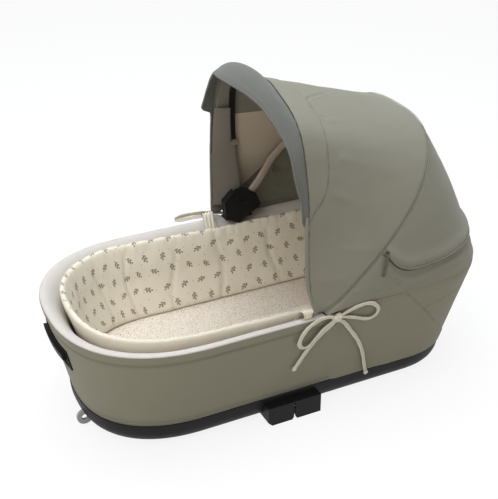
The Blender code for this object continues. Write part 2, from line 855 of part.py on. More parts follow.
def full_arch(half, place):
    """Mirror a half arch over y and resample it from the near side to the far side."""
    near = [Vector(place(across, up, -1.0)) for across, up in reversed(half)]
    far = [Vector(place(across, up, 1.0)) for across, up in half[1:]]
    return resample(near + far, arch_points)


def full_route(route):
    """Mirror one side's points over y and resample them from the near side to the far side."""
    side = cot_width / 2
    near = [Vector((x, inset - side, canopy_base + rise)) for x, inset, rise in route]
    far = [Vector((point.x, -point.y, point.z)) for point in reversed(near[:-1])]
    return resample(near + far, arch_points)


def seam_place(across, up, side):
    share = (across / seam_half_width) ** 2
    tilt = seam_crown_tilt + (seam_side_tilt - seam_crown_tilt) * share
    return (seam_base_x + up * math.sin(tilt), side * across, canopy_base + up * math.cos(tilt))


def canopy_arches():
    front = full_route(front_edge_route)
    seam = full_arch(arch(seam_half_width, seam_height, seam_side_power, seam_top_power), seam_place)
    base = head_path(canopy_base, clearance, rear_base_start_x, arch_points)
    return front, seam, base


def cloth_between(first, second, bulge, pinch, rows=cloth_rows):
    """Rows between two arches. The cloth swells at the crown and sides and draws in at the shoulders."""
    centre = Vector((canopy_centre_x, 0.0, canopy_centre_z))
    result = []
    for row in range(rows + 1):
        share = row / rows
        points = []
        for a, b in zip(first, second):
            place = a.lerp(b, share)
            outward = (place - centre).normalized()
            shoulder = 2 * abs(outward.y * outward.z) / (outward.y ** 2 + outward.z ** 2)
            points.append(place + outward * (bulge - pinch * shoulder) * 4 * share * (1 - share))
        result.append(points)
    return result


def canopy_rows():
    front, seam, base = canopy_arches()
    roof = cloth_between(front, seam, front_bulge, front_pinch)
    return roof + cloth_between(seam, base, rear_bulge, 0.0)[1:]


def cloth_normals(rows):
    """Outward direction at every point of a grid of cloth."""
    centre = Vector((canopy_centre_x, 0.0, canopy_centre_z))
    result = []
    for index, row in enumerate(rows):
        before = rows[max(index - 1, 0)]
        after = rows[min(index + 1, len(rows) - 1)]
        normals = []
        for place, point in enumerate(row):
            along = row[min(place + 1, len(row) - 1)] - row[max(place - 1, 0)]
            normal = along.cross(after[place] - before[place]).normalized()
            if normal.dot(point - centre) < 0:
                normal = -normal
            normals.append(normal)
        result.append(normals)
    return result


def cloth_shell(name, rows, normals, thickness):
    """A closed sheet of cloth under a grid of points."""
    columns = []
    for place in range(len(rows[0])):
        outside = [row[place] for row in rows]
        inside = [row[place] - normal[place] * thickness for row, normal in zip(rows, normals)]
        columns.append(outside + list(reversed(inside)))
    sheet = finish_bmesh(name, loft(columns, cap=True), sage_cloth)
    shade(sheet)
    add_modifier(sheet, "flat_faces", "TRIANGULATE", quad_method="SHORTEST_DIAGONAL")
    return sheet


def draw_back(row, neighbour):
    """Shift a row a clearance towards its neighbour, to leave a gap at the seam."""
    return [a + (b - a).normalized() * clearance for a, b in zip(row, neighbour)]


def build_canopy_panels():
    rows = canopy_rows()
    normals = cloth_normals(rows)
    seam = cloth_rows
    front = rows[:seam] + [draw_back(rows[seam], rows[seam - 1])]
    rear = [draw_back(rows[seam], rows[seam + 1])] + rows[seam + 1:]
    cloth_shell("canopy_front_panel", front, normals[:seam + 1], cloth_thickness)
    cloth_shell("canopy_rear_panel", rear, normals[seam:], cloth_thickness)


def build_visor():
    """A soft peak between the canopy's front edge and its own free edge, arched up in between."""
    low = visor_edge_route[0][2]
    seam = full_route([point for point in front_edge_route if point[2] >= low - clearance * 10])
    edge = full_route(visor_edge_route)
    rows = []
    for step in range(cloth_rows + 1):
        share = step / cloth_rows
        row = []
        for a, b in zip(seam, edge):
            place = (a - Vector((visor_gap, 0.0, 0.0))).lerp(b, share)
            rise = visor_rise * max(0.0, 1.0 - (place.y / visor_rise_reach) ** 2) * math.sin(math.pi * share)
            row.append(place + Vector((0.0, 0.0, rise)))
        rows.append(row)
    normals = cloth_normals(rows)
    panel = canopy_rows()
    panel_normals = cloth_normals(panel)[0]
    for index, point in enumerate(seam):
        nearest = min(range(arch_points), key=lambda place: (panel[0][place] - point).length)
        normals[0][index] = panel_normals[nearest]
    return cloth_shell("canopy_visor", rows, normals, visor_thickness)


def build_skirt():
    """Cloth that hangs from the canopy's base over the outside of the tub, round the head."""
    outer = -clearance - skirt_thickness
    top = canopy_base - skirt_shoulder
    heights = [top, (top + cover_bottom) / 2, cover_bottom + skirt_shoulder]
    count = 2 * arch_points - 1
    outside = [head_path(height, outer, skirt_start_x, count) for height in heights]
    inside = [head_path(height, -clearance, skirt_start_x, count) for height in reversed(heights)]
    rows = outside + inside
    columns = [list(column) for column in zip(*rows)]
    skirt = finish_bmesh("canopy_skirt", loft(columns, cap=True), sage_cloth)
    shade(skirt)
    add_modifier(skirt, "flat_faces", "TRIANGULATE", quad_method="SHORTEST_DIAGONAL")
    return skirt


# Hubs: bracket on the rim, pin, two bow lugs, cover and a button in it
hub_outline_shares = [
    (-0.08, 1.00), (0.70, 0.50), (1.00, -0.18), (-0.20, -0.96), (-0.87, -0.66), (-0.96, 0.25), (-0.41, 0.90),
]
front_lug_y = bracket_face - clearance - lug_thickness / 2
mid_lug_y = front_lug_y - lug_thickness - clearance
pin_head_y = mid_lug_y - lug_thickness / 2 - clearance - pin_head


def hub_outline(shrink):
    width, height = hub_half_width - shrink, hub_half_height - shrink
    return [(hub_x + x * width, hub_z + z * height) for x, z in hub_outline_shares]


def at_side(item, side, y):
    """Move a solid that is centred on y = 0 to one side of the tub."""
    item.data.transform(Matrix.Translation((0.0, side * y, 0.0)))
    return item


def build_hub_bracket(name, side):
    plate = prism(name, hub_outline(hub_wall), bracket_thickness, black_plastic)
    at_side(plate, side, bracket_face + bracket_thickness / 2)
    low_y = bracket_face + clearance
    high_y = cot_width / 2 - lining_cloth
    flange = box(
        name + "_flange",
        (hub_x - bracket_flange_length / 2, min(side * low_y, side * high_y), rim_height + clearance),
        (
            hub_x + bracket_flange_length / 2, max(side * low_y, side * high_y),
            rim_height + clearance + bracket_flange_thickness,
        ),
        black_plastic, cutters,
    )
    boolean(plate, flange, "UNION")
    return plate


def build_hub_cover(name, side):
    depth = bracket_face - clearance - cover_face
    cover = prism(name, hub_outline(0.0), depth, black_plastic)
    at_side(cover, side, cover_face + depth / 2)
    cavity = prism(name + "_cavity", hub_outline(hub_wall), depth, black_plastic, cutters)
    at_side(cavity, side, cover_face + hub_wall + depth / 2)
    boolean(cover, cavity)
    reach = 2 * hub_half_width
    gate = [(hub_x, hub_z)]
    for angle in (-30, 0, 45, 90, 115):
        turn = math.radians(angle)
        gate.append((hub_x + math.sin(turn) * reach, hub_z + math.cos(turn) * reach))
    sweep = prism(name + "_gate", gate, depth, black_plastic, cutters)
    at_side(sweep, side, cover_face + hub_wall + depth / 2)
    boolean(cover, sweep)
    hole = cylinder(
        name + "_hole", button_radius + bore_gap, side * (cover_face - overrun), side * (cover_face + hub_wall + overrun),
        black_plastic, (hub_x, hub_z), collection=cutters,
    )
    boolean(cover, hole)
    return cover


def turned_pair(name, side, steps, material):
    """Two cylinders on the hub's axis in one solid: (radius, from, to) for each."""
    first, second = steps
    piece = cylinder(name, first[0], side * first[1], side * first[2], material, (hub_x, hub_z))
    more = cylinder(
        name + "_step", second[0], side * second[1], side * second[2], material, (hub_x, hub_z), collection=cutters
    )
    boolean(piece, more, "UNION")
    return piece


def build_hub_pin(name, side):
    shank = (pin_radius, pin_head_y + pin_head / 2, bracket_face - clearance)
    head = (pin_head_radius, pin_head_y, pin_head_y + pin_head)
    return turned_pair(name, side, (shank, head), steel)


def build_hub_button(name, side):
    inner_face = cover_face + hub_wall + clearance
    cap = (button_radius, cover_face - button_proud, inner_face + button_flange_thickness / 2)
    flange = (button_radius + button_flange, inner_face, inner_face + button_flange_thickness)
    return turned_pair(name, side, (cap, flange), black_plastic)


def cloth_section(tilt):
    """Where the hinge plane at a tilt meets the canopy's outside: (y, distance from the axis) per column."""
    along = Vector((math.sin(tilt), 0.0, math.cos(tilt)))
    normal = Vector((math.cos(tilt), 0.0, -math.sin(tilt)))
    hub = Vector((hub_x, 0.0, hub_z))
    section = []
    rows = canopy_rows()
    for place in range(arch_points):
        column = [row[place] for row in rows]
        for a, b in zip(column, column[1:]):
            first, second = (a - hub).dot(normal), (b - hub).dot(normal)
            if first <= 0 < second:
                point = a.lerp(b, first / (first - second))
                section.append(Vector((point.y, (point - hub).dot(along))))
    return section


def bow_line(tilt, lug_y, inside):
    """A bow's centre line in its own plane, offset inwards from the cloth and leant in to its lugs."""
    section = cloth_section(tilt)
    centre = Vector((0.0, lean_end))
    moved = []
    for index, point in enumerate(section):
        before = section[max(index - 1, 0)]
        after = section[min(index + 1, len(section) - 1)]
        along = (after - before).normalized()
        normal = Vector((-along.y, along.x))
        if normal.dot(centre - point) < 0:
            normal = -normal
        moved.append(point + normal * inside)
    half = [Vector((abs(point.x), point.y)) for point in moved if point.x >= 0 and point.y > lean_start]
    half.sort(key=lambda point: math.atan2(point.x, point.y - lean_start))
    path = []
    for point in half:
        share = min(max((point.y - lean_start) / (lean_end - lean_start), 0.0), 1.0)
        smooth = share * share * (3 - 2 * share)
        path.append(Vector((lug_y + (point.x - lug_y) * smooth, point.y)))
    path += [Vector((lug_y, lean_start)), Vector((lug_y, lug_radius / 3))]
    path[0] = Vector((0.0, path[0].y))
    near = [Vector((-point.x, point.y)) for point in reversed(path)]
    return resample(near + path[1:], 2 * arch_points - 1)


def line_normals(line):
    """Outward direction at each point of a bow's line."""
    result = []
    for index in range(len(line)):
        before = line[max(index - 1, 0)]
        after = line[min(index + 1, len(line) - 1)]
        along = (after - before).normalized()
        result.append(Vector((-along.y, along.x)))
    return result


def bow_place(tilt):
    return Matrix.Translation((hub_x, 0.0, hub_z)) @ Matrix.Rotation(tilt, 4, "Y")


def bow_rows(line, tilt, half_width, half_depth):
    """A rectangle round the bow's line at each of its points."""
    place = bow_place(tilt)
    corners = [(1, 1), (1, -1), (-1, -1), (-1, 1)]
    rows = []
    for point, normal in zip(line, line_normals(line)):
        middles = [point + normal * sign * half_depth for _, sign in corners]
        rows.append([
            place @ Vector((sign * half_width, middle.x, middle.y)) for (sign, _), middle in zip(corners, middles)
        ])
    return rows


def build_bow(name, line, tilt, lug_y):
    bow = finish_bmesh(name, loft(bow_rows(line, tilt, bow_width / 2, bow_thickness / 2), cap=True), black_plastic)
    place = bow_place(tilt)
    for side in (-1, 1):
        low, high = side * (lug_y - lug_thickness / 2), side * (lug_y + lug_thickness / 2)
        lug = cylinder("%s_lug_%d" % (name, side), lug_radius, low, high, black_plastic, collection=cutters)
        lug.data.transform(place)
        boolean(bow, lug, "UNION")
    for side in (-1, 1):
        low, high = side * (lug_y - lug_thickness), side * (lug_y + lug_thickness)
        bore = cylinder(
            "%s_bore_%d" % (name, side), pin_radius + bore_gap, low, high, black_plastic, collection=cutters
        )
        bore.data.transform(place)
        boolean(bow, bore)
    return bow


front_bow_line = bow_line(front_bow_tilt, front_lug_y, cloth_thickness + bow_margin + bow_thickness / 2)
mid_bow_line = bow_line(
    mid_bow_tilt, mid_lug_y, cloth_thickness + bow_margin + bow_thickness / 2 + sleeve_thickness + sleeve_gap
)


def build_sleeve():
    """Cloth sleeve round the mid bow, between its two hubs."""
    line = mid_bow_line
    kept = [index for index, point in enumerate(line) if point.y > lean_start / 2]
    first, last = kept[0], kept[-1] + 1
    rows = []
    for extra in (sleeve_gap + sleeve_thickness, sleeve_gap):
        rows.append(bow_rows(line, mid_bow_tilt, bow_width / 2 + extra, bow_thickness / 2 + extra)[first:last])
    shape = bmesh.new()
    grid = [[[shape.verts.new(corner) for corner in row] for row in ring] for ring in rows]
    quads = []
    for ring in grid:
        for lower, upper in zip(ring, ring[1:]):
            quads += [(lower, upper)]
    quads += [(grid[0][0], grid[1][0]), (grid[0][-1], grid[1][-1])]
    for lower, upper in quads:
        for index in range(4):
            following = (index + 1) % 4
            shape.faces.new((lower[index], lower[following], upper[following], upper[index]))
    return finish_bmesh("mid_bow_sleeve", shape, beige_cloth)


def build_studs():
    """Snap studs that hold the front band's tabs to the front bow, flat on its inner face."""
    point, normal = min(
        zip(front_bow_line, line_normals(front_bow_line)),
        key=lambda pair: abs(pair[0].y - stud_reach) + (cot_width if pair[0].x < 0 else 0.0),
    )
    reach = bow_thickness / 2 + clearance + stud_height / 2
    if normal.x < 0:
        normal = -normal
    for side, word in ((1, "left"), (-1, "right")):
        name = "bow_snap_" + word
        stud = cylinder(name, stud_radius, -stud_height / 2, stud_height / 2, steel, axis="Z", sides=12)
        turn = Matrix.Rotation(-side * math.atan2(normal.x, normal.y), 4, "X")
        middle = Vector((0.0, side * (point.x - normal.x * reach), point.y - normal.y * reach))
        stud.data.transform(bow_place(front_bow_tilt) @ Matrix.Translation(middle) @ turn)


# Zip round the head and its puller
def zip_line():
    """The zip's route over the rear cloth: down from the mid seam, then level round the head."""
    path = head_path(zip_low, 0.0, zip_start_x, 2 * arch_points - 1)
    front, seam, base = canopy_arches()
    rear = cloth_between(seam, base, rear_bulge, 0.0)
    points = []
    for point in path:
        share = min(max((point.x - zip_start_x) / (zip_level_x - zip_start_x), 0.0), 1.0)
        height = zip_low + (zip_high - zip_low) * (1 - share) ** 3
        points.append(on_contour(cloth_contour(rear, height), point))
    return points


def crossing(a, b, height):
    """Where the edge from a to b meets a height, or nothing."""
    if a.z == b.z or (a.z - height) * (b.z - height) > 0:
        return []
    return [a.lerp(b, (height - a.z) / (b.z - a.z))]


def cloth_contour(rows, height):
    """The rear cloth's outline at a height, from the near side round the head to the far side."""
    places = []
    for lower, upper in zip(rows, rows[1:]):
        for a, b in zip(lower, upper):
            places += crossing(a, b, height)
    for row in rows:
        for a, b in zip(row, row[1:]):
            places += crossing(a, b, height)
    return sorted(places, key=lambda place: math.atan2(place.y, place.x - canopy_centre_x))


def on_contour(contour, point):
    """The contour's nearest place to a point of the rim, lifted by the zip's own height off the cloth."""
    goal = Vector((point.x, point.y, contour[0].z))
    best = None
    for a, b in zip(contour, contour[1:]):
        along = b - a
        share = min(max((goal - a).dot(along) / max(along.length_squared, overrun ** 2), 0.0), 1.0)
        place = a.lerp(b, share)
        if best is None or (place - goal).length < (best - goal).length:
            best = place
    outward = (best - Vector((canopy_centre_x, 0.0, best.z))).normalized()
    return best + outward * (zip_radius + zip_lift)


def build_puller(start):
    """The tab that hangs from the zip's slider on the near side, its eye at the top."""
    half_width = puller_width / 2
    outline = [
        (-half_width * 0.6, puller_eye), (half_width * 0.6, puller_eye), (half_width, -puller_length * 0.3),
        (half_width * 0.8, -puller_length), (-half_width * 0.8, -puller_length), (-half_width, -puller_length * 0.3),
    ]
    tab = prism("zip_puller", outline, puller_thickness, black_plastic)
    gap = zip_radius + clearance + puller_lift + puller_thickness / 2
    tab.data.transform(Matrix.Rotation(-puller_lean, 4, "X") @ Matrix.Rotation(puller_side_lean, 4, "Y"))
    tab.data.transform(Matrix.Translation(Vector(start) - Vector((0.0, gap, 0.0))))
    return tab


# Release grip, its bezel and the cables to the two adapters
def opening_cutter():
    name = "grip_opening"
    if name in bpy.data.objects:
        return bpy.data.objects[name]
    reach = cot_length / 2
    return box(
        name, (-reach, -opening_half_width, grip_height - opening_height / 2),
        (-reach + tray_foot_inset + wall_thickness * 2, opening_half_width, grip_height + opening_height / 2),
        black_plastic, cutters,
    )


def build_bezel():
    low = grip_height - opening_height / 2 - bezel_border
    high = grip_height + opening_height / 2 + bezel_border
    count = 13
    outer = cover_depth - clearance - bezel_proud
    inner = cover_depth - clearance
    rows = [
        foot_path(low, outer, bezel_half_width, count), foot_path(high, outer, bezel_half_width, count),
        foot_path(high, inner, bezel_half_width, count), foot_path(low, inner, bezel_half_width, count),
    ]
    columns = [list(column) for column in zip(*rows)]
    bezel = finish_bmesh("release_bezel", loft(columns, cap=True), black_plastic)
    boolean(bezel, opening_cutter())
    return bezel


def build_grip():
    """A bar across the opening, with a lip to pull on, hung near the top of the opening."""
    top = grip_height + opening_height / 2 - clearance
    bottom = top - grip_bar_height
    count = 11
    outer = cover_depth - grip_proud
    inner = wall_inner_depth - clearance * 4
    rows = [
        foot_path(bottom, outer, grip_bar_half_width, count), foot_path(top, outer, grip_bar_half_width, count),
        foot_path(top, inner, grip_bar_half_width, count), foot_path(bottom, inner, grip_bar_half_width, count),
    ]
    columns = [list(column) for column in zip(*rows)]
    return finish_bmesh("release_grip", loft(columns, cap=True), black_plastic)


def build_cable(name, side):
    """A cable under the mattress board, from the foot end to the inside of the adapter."""
    floor = tray_floor + tray_wall + cable_radius + clearance * 2
    start_x = -cot_length / 2 + tray_foot_inset + tray_drops[-1][1] + tray_wall
    side_y = adapter_seat - cable_rise
    points = [
        (start_x, side * cable_start, floor), (start_x * 0.8, side * cable_start * 1.6, floor),
        (start_x * 0.5, side * side_y * 0.45, floor),
        (adapter_centre_x * 4, side * side_y * 0.66, floor + cable_rise / 16),
        (adapter_centre_x * 2, side * side_y * 0.8, floor + cable_rise / 8),
        (adapter_centre_x, side * side_y, floor + cable_rise / 1.6),
        (adapter_centre_x, side * adapter_seat, floor + cable_rise),
    ]
    return tube(name, resample(points, 14), cable_radius, black_plastic, sides=1)


# Adapters
def build_adapter(name, side):
    left = adapter_centre_x - adapter_length / 2
    right = adapter_centre_x + adapter_length / 2
    depth = adapter_outer - adapter_seat
    middle = (adapter_outer + adapter_seat) / 2
    outline = [
        (left + adapter_chamfer, adapter_bottom), (adapter_centre_x - adapter_notch / 2, adapter_bottom),
        (adapter_centre_x - adapter_slot / 2, adapter_bottom + adapter_notch / 2),
        (adapter_centre_x + adapter_slot / 2, adapter_bottom + adapter_notch / 2),
        (adapter_centre_x + adapter_notch / 2, adapter_bottom), (right, adapter_bottom),
        (right, adapter_top), (left, adapter_top), (left, adapter_bottom + adapter_chamfer),
    ]
    housing = prism(name, outline, depth, black_plastic)
    at_side(housing, side, middle)
    pocket_low = adapter_inner + adapter_wall
    pocket_high = adapter_outer - adapter_wall
    ends = sorted((side * pocket_low, side * pocket_high))
    pocket = box(
        name + "_pocket", (left + adapter_wall, ends[0], adapter_bottom - overrun),
        (right - adapter_wall, ends[1], adapter_top - adapter_wall), black_plastic, cutters,
    )
    boolean(housing, pocket)
    ends = sorted((side * (pocket_high - clearance), side * (adapter_outer + overrun)))
    slot = box(
        name + "_slot", (adapter_centre_x - adapter_slot / 2, ends[0], adapter_bottom - overrun),
        (adapter_centre_x + adapter_slot / 2, ends[1], adapter_top - adapter_wall), black_plastic, cutters,
    )
    boolean(housing, slot)
    boolean(housing, tray_clearance())
    return housing


def build_latch(name, side):
    """A steel frame inside the adapter; its two bars show in the slot."""
    face = adapter_outer - adapter_wall - clearance
    depth = latch_thickness
    left = adapter_centre_x - latch_length / 2
    right = adapter_centre_x + latch_length / 2
    outline = [
        (left, latch_low), (right, latch_low), (right, latch_high), (left, latch_high),
    ]
    plate = prism(name, outline, depth, steel)
    at_side(plate, side, face - depth / 2)
    ends = sorted((side * (face - depth - overrun), side * (face + overrun)))
    window = box(
        name + "_window", (left + latch_bar * 3, ends[0], latch_low + latch_bar),
        (right - latch_bar * 3, ends[1], latch_high - latch_bar), steel, cutters,
    )
    boolean(plate, window)
    return plate


# Ribbons and the liner's tabs
def mirrored_route(route):
    return [(x, -y, z) for x, y, z in route]


def from_knot(knot, point):
    """Two points that lead a strand squarely out of the knot's surface towards a point."""
    knot = Vector(knot)
    size = Vector((knot_length, knot_depth, knot_height))
    way = Vector(point) - knot
    way /= Vector((way.x / size.x, way.y / size.y, way.z / size.z)).length
    normal = Vector((way.x / size.x ** 2, way.y / size.y ** 2, way.z / size.z ** 2)).normalized()
    return [knot + way + normal * clearance, knot + way + normal * knot_lead]


def build_ribbon(name, knot, route, swell=()):
    """A strand of the tie. A loop comes back to the knot, a tail hangs from it."""
    places = [Vector(knot) + Vector(step) for step in route]
    points = from_knot(knot, places[0]) + places[1:]
    if not swell:
        points = points[:-1] + list(reversed(from_knot(knot, places[-1])))
    return tube(name, points, ribbon_radius, cream_cloth, swell=swell)


def build_blob(name, place, size):
    shape = bmesh.new()
    bmesh.ops.create_uvsphere(shape, u_segments=12, v_segments=8, radius=1.0)
    bmesh.ops.scale(shape, vec=size, verts=shape.verts)
    bmesh.ops.translate(shape, vec=place, verts=shape.verts)
    item = finish_bmesh(name, shape, cream_cloth)
    shade(item)
    return item


def build_liner_tab(name, side):
    """A cloth tab of the liner, laid up the lining's slope towards the rim."""
    rise = tab_thickness / 2 + 2 * clearance
    slope = Vector((rim_height - lining_bulge_flat / 2, (rim_width + lining_bulge) / 2 - lining_cloth))
    end = slope.lerp(Vector((lining_bulge_height, lining_bulge)), 0.75)
    places = [(rim_height, rim_width), slope, end]
    rows = []
    for height, depth in places:
        inset = wall_insets(height, depth)[0]
        y = cot_width / 2 - inset
        rows.append(Vector((y, height)))
    outline_outer, outline_inner = [], []
    for index, point in enumerate(rows):
        before = rows[max(index - 1, 0)]
        after = rows[min(index + 1, len(rows) - 1)]
        first = (point - before if index else after - point).normalized()
        second = (after - point if index < len(rows) - 1 else point - before).normalized()
        mitre = (Vector((-first.y, first.x)) + Vector((-second.y, second.x))) / (1 + first.dot(second))
        if mitre.y < 0:
            mitre = -mitre
        outline_outer.append(point + mitre * (rise + tab_thickness / 2))
        outline_inner.append(point + mitre * (rise - tab_thickness / 2))
    section = outline_outer + list(reversed(outline_inner))
    rows = []
    for x in (tab_x - tab_width / 2, tab_x + tab_width / 2):
        rows.append([Vector((x, side * point.x, point.y)) for point in section])
    return finish_bmesh(name, loft(rows, cap=True), cream_cloth)


build_tray()
build_pads()
build_loop_foot()
build_side_wall()
build_cover()
build_hem()
build_rim_frame()
build_rim_lining()
build_board()
build_mattress()
build_liner()
build_canopy_panels()
build_visor()
build_skirt()
for side, word in ((1, "left"), (-1, "right")):
    build_hub_bracket("hub_bracket_" + word, side)
    build_hub_cover("hub_cover_" + word, side)
    build_hub_pin("hub_pin_" + word, side)
    build_hub_button("hub_button_" + word, side)
    build_adapter("adapter_" + word, side)
    build_latch("adapter_latch_" + word, side)
    build_cable("release_cable_" + word, side)
    build_liner_tab("liner_tab_" + word, side)
build_bow("front_bow", front_bow_line, front_bow_tilt, front_lug_y)
build_bow("mid_bow", mid_bow_line, mid_bow_tilt, mid_lug_y)
build_sleeve()
build_studs()
zip_points = zip_line()
tube("canopy_zip", zip_points, zip_radius, black_plastic, sides=1)
build_puller(zip_points[0])
build_bezel()
build_grip()
build_ribbon("ribbon_right_loop_a", near_knot, loop_high_route)
build_ribbon("ribbon_right_loop_b", near_knot, loop_low_route)
build_ribbon("ribbon_right_tail_a", near_knot, tail_high_route, tip_swell_shares)
build_ribbon("ribbon_right_tail_b", near_knot, tail_low_route, tip_swell_shares)
build_blob("ribbon_right_knot", near_knot, (knot_length, knot_depth, knot_height))
build_ribbon("ribbon_left_loop_a", far_knot, mirrored_route(loop_high_route))
build_ribbon("ribbon_left_loop_b", far_knot, far_loop_route)
build_ribbon("ribbon_left_tail_a", far_knot, mirrored_route(tail_high_route), tip_swell_shares)
build_ribbon("ribbon_left_tail_b", far_knot, mirrored_route(tail_low_route), tip_swell_shares)
build_blob("ribbon_left_knot", far_knot, (knot_length, knot_depth, knot_height))
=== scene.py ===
import math

import bmesh
import bpy
from mathutils import Matrix, Vector, noise
from mathutils.bvhtree import BVHTree
from mathutils.kdtree import KDTree
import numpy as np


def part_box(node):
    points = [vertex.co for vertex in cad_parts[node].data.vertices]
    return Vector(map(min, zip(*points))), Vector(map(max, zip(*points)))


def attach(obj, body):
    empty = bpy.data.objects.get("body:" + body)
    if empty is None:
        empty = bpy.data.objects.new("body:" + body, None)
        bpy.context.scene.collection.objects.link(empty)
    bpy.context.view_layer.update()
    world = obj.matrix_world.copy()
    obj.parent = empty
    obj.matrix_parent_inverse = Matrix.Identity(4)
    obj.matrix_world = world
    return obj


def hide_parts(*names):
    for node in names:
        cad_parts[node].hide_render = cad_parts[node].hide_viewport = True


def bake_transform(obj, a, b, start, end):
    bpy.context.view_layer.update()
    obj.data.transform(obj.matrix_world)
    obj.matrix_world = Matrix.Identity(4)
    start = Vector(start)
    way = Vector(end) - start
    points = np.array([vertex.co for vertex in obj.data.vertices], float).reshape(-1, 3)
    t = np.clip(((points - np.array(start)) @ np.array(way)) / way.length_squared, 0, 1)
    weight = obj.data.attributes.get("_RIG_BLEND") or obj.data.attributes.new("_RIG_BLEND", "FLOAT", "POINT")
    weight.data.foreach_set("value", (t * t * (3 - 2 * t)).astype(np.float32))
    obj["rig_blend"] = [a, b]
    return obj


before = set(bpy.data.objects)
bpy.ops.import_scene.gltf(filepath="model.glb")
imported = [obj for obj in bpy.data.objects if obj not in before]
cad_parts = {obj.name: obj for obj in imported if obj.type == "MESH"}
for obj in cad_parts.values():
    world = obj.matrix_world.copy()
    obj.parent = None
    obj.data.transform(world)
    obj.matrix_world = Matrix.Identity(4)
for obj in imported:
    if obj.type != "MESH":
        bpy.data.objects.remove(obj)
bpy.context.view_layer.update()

viewValues = {"position": (-0.7327, -1.4381, 1.1374), "target": (-0.0263, 0.0, 0.267), "lens": 69.82}
bothSides = ((-1, "right"), (1, "left"))


def aim(thing, place, target):
    bpy.context.scene.collection.objects.link(thing)
    thing.location = place
    thing.rotation_euler = (Vector(target) - Vector(place)).to_track_quat("-Z", "Y").to_euler()


def placeCamera(values):
    data = bpy.data.cameras.new("photo_camera")
    data.lens = values["lens"]
    camera = bpy.data.objects.new("photo_camera", data)
    aim(camera, values["position"], values["target"])
    bpy.context.scene.camera = camera


placeCamera(viewValues)
print("camera placed")

# Shares, waves and paths


def shareOf(value, low=0.0, high=1.0):
    return min(max((value - low) / (high - low), 0.0), 1.0)


def smoothStep(low, high, value):
    share = shareOf(value, low, high)
    return share * share * (3 - 2 * share)


def bell(distance, width):
    return math.exp(-(distance / width) ** 2)


def arch(share):
    return math.sin(math.pi * shareOf(share))


def noiseAt(x, y, z):
    return noise.noise(Vector((x, y, z)))


def ripple(place, x, y, z):
    return noiseAt(place.x * x, place.y * y, place.z * z)


def smoothPath(points, spacing, closed=False):
    points = [Vector(point) for point in points]
    count = len(points)
    result = []
    for index in range(count if closed else count - 1):
        if closed:
            before, a, b, after = (points[(index + step) % count] for step in (-1, 0, 1, 2))
        else:
            a, b = points[index], points[index + 1]
            before = points[index - 1] if index else a * 2 - b
            after = points[index + 2] if index + 2 < count else b * 2 - a
        steps = max(1, int((b - a).length / spacing))
        for step in range(steps):
            t = step / steps
            result.append(0.5 * (2 * a + (b - before) * t + (2 * before - 5 * a + 4 * b - after) * t ** 2
                                 + (3 * a - before - 3 * b + after) * t ** 3))
    result.append(result[0] if closed else points[-1])
    return result


def runLengths(points):
    lengths = [0.0]
    for a, b in zip(points, points[1:]):
        lengths.append(lengths[-1] + (b - a).length)
    return lengths


def pathLength(points):
    return runLengths(points)[-1]


def evenPath(points, count, ruler=None):
    # equal steps along the path, or along another path that measures it
    lengths = runLengths(ruler or points)
    result = []
    segment = 0
    for step in range(count):
        target = lengths[-1] * step / (count - 1)
        while segment < len(points) - 2 and lengths[segment + 1] < target:
            segment += 1
        span = max(lengths[segment + 1] - lengths[segment], 1e-9)
        share = shareOf((target - lengths[segment]) / span)
        result.append(points[segment].lerp(points[segment + 1], share))
    return result


def alongPath(points, share):
    place = shareOf(share) * (len(points) - 1)
    index = min(int(place), len(points) - 2)
    return points[index].lerp(points[index + 1], place - index)


# Mesh helpers
tubeGirth = 0.014


def gridLayers(shape):
    return shape.verts.layers.float["across"], shape.verts.layers.float["along"]


def gridShape(stepsU, stepsV, place, size, closed=False):
    # place(across, along) puts each vertex, and size is the cloth's own for its UV map
    shape = bmesh.new()
    surface = shape.loops.layers.uv.new("surface")
    across = shape.verts.layers.float.new("across")
    along = shape.verts.layers.float.new("along")
    bmesh.ops.create_grid(shape, x_segments=stepsU, y_segments=stepsV, size=0.5)
    for vert in shape.verts:
        vert[across], vert[along] = vert.co.x + 0.5, vert.co.y + 0.5
    for face in shape.faces:
        for loop in face.loops:
            loop[surface].uv = (loop.vert[across] * size[0], loop.vert[along] * size[1])
    for vert in shape.verts:
        vert.co = place(vert[across], vert[along])
    if closed:
        bmesh.ops.remove_doubles(shape, verts=shape.verts, dist=0.00002)
    return shape


def pushOut(shape, lift):
    # lift(across, along, place) is how far a vertex moves out along its normal
    across, along = gridLayers(shape)
    shape.normal_update()
    moves = [vert.normal * lift(vert[across], vert[along], vert.co) for vert in shape.verts]
    for vert, move in zip(shape.verts, moves):
        vert.co += move


def turnFaces(shape, outward):
    shape.normal_update()
    if sum(face.normal.dot(outward(face.calc_center_median())) for face in shape.faces) < 0:
        bmesh.ops.reverse_faces(shape, faces=shape.faces)
        shape.normal_update()


def faceAway(shape, centre):
    turnFaces(shape, lambda place: place - Vector(centre))


def sheetShape(stepsU, stepsV, place, size, centre, lift=None, closed=False):
    shape = gridShape(stepsU, stepsV, place, size, closed)
    faceAway(shape, centre)
    if lift:
        pushOut(shape, lift)
    return shape


def fillEnds(shape):
    edges = [edge for edge in shape.edges if edge.is_boundary]
    bmesh.ops.holes_fill(shape, edges=edges)
    bmesh.ops.recalc_face_normals(shape, faces=shape.faces)


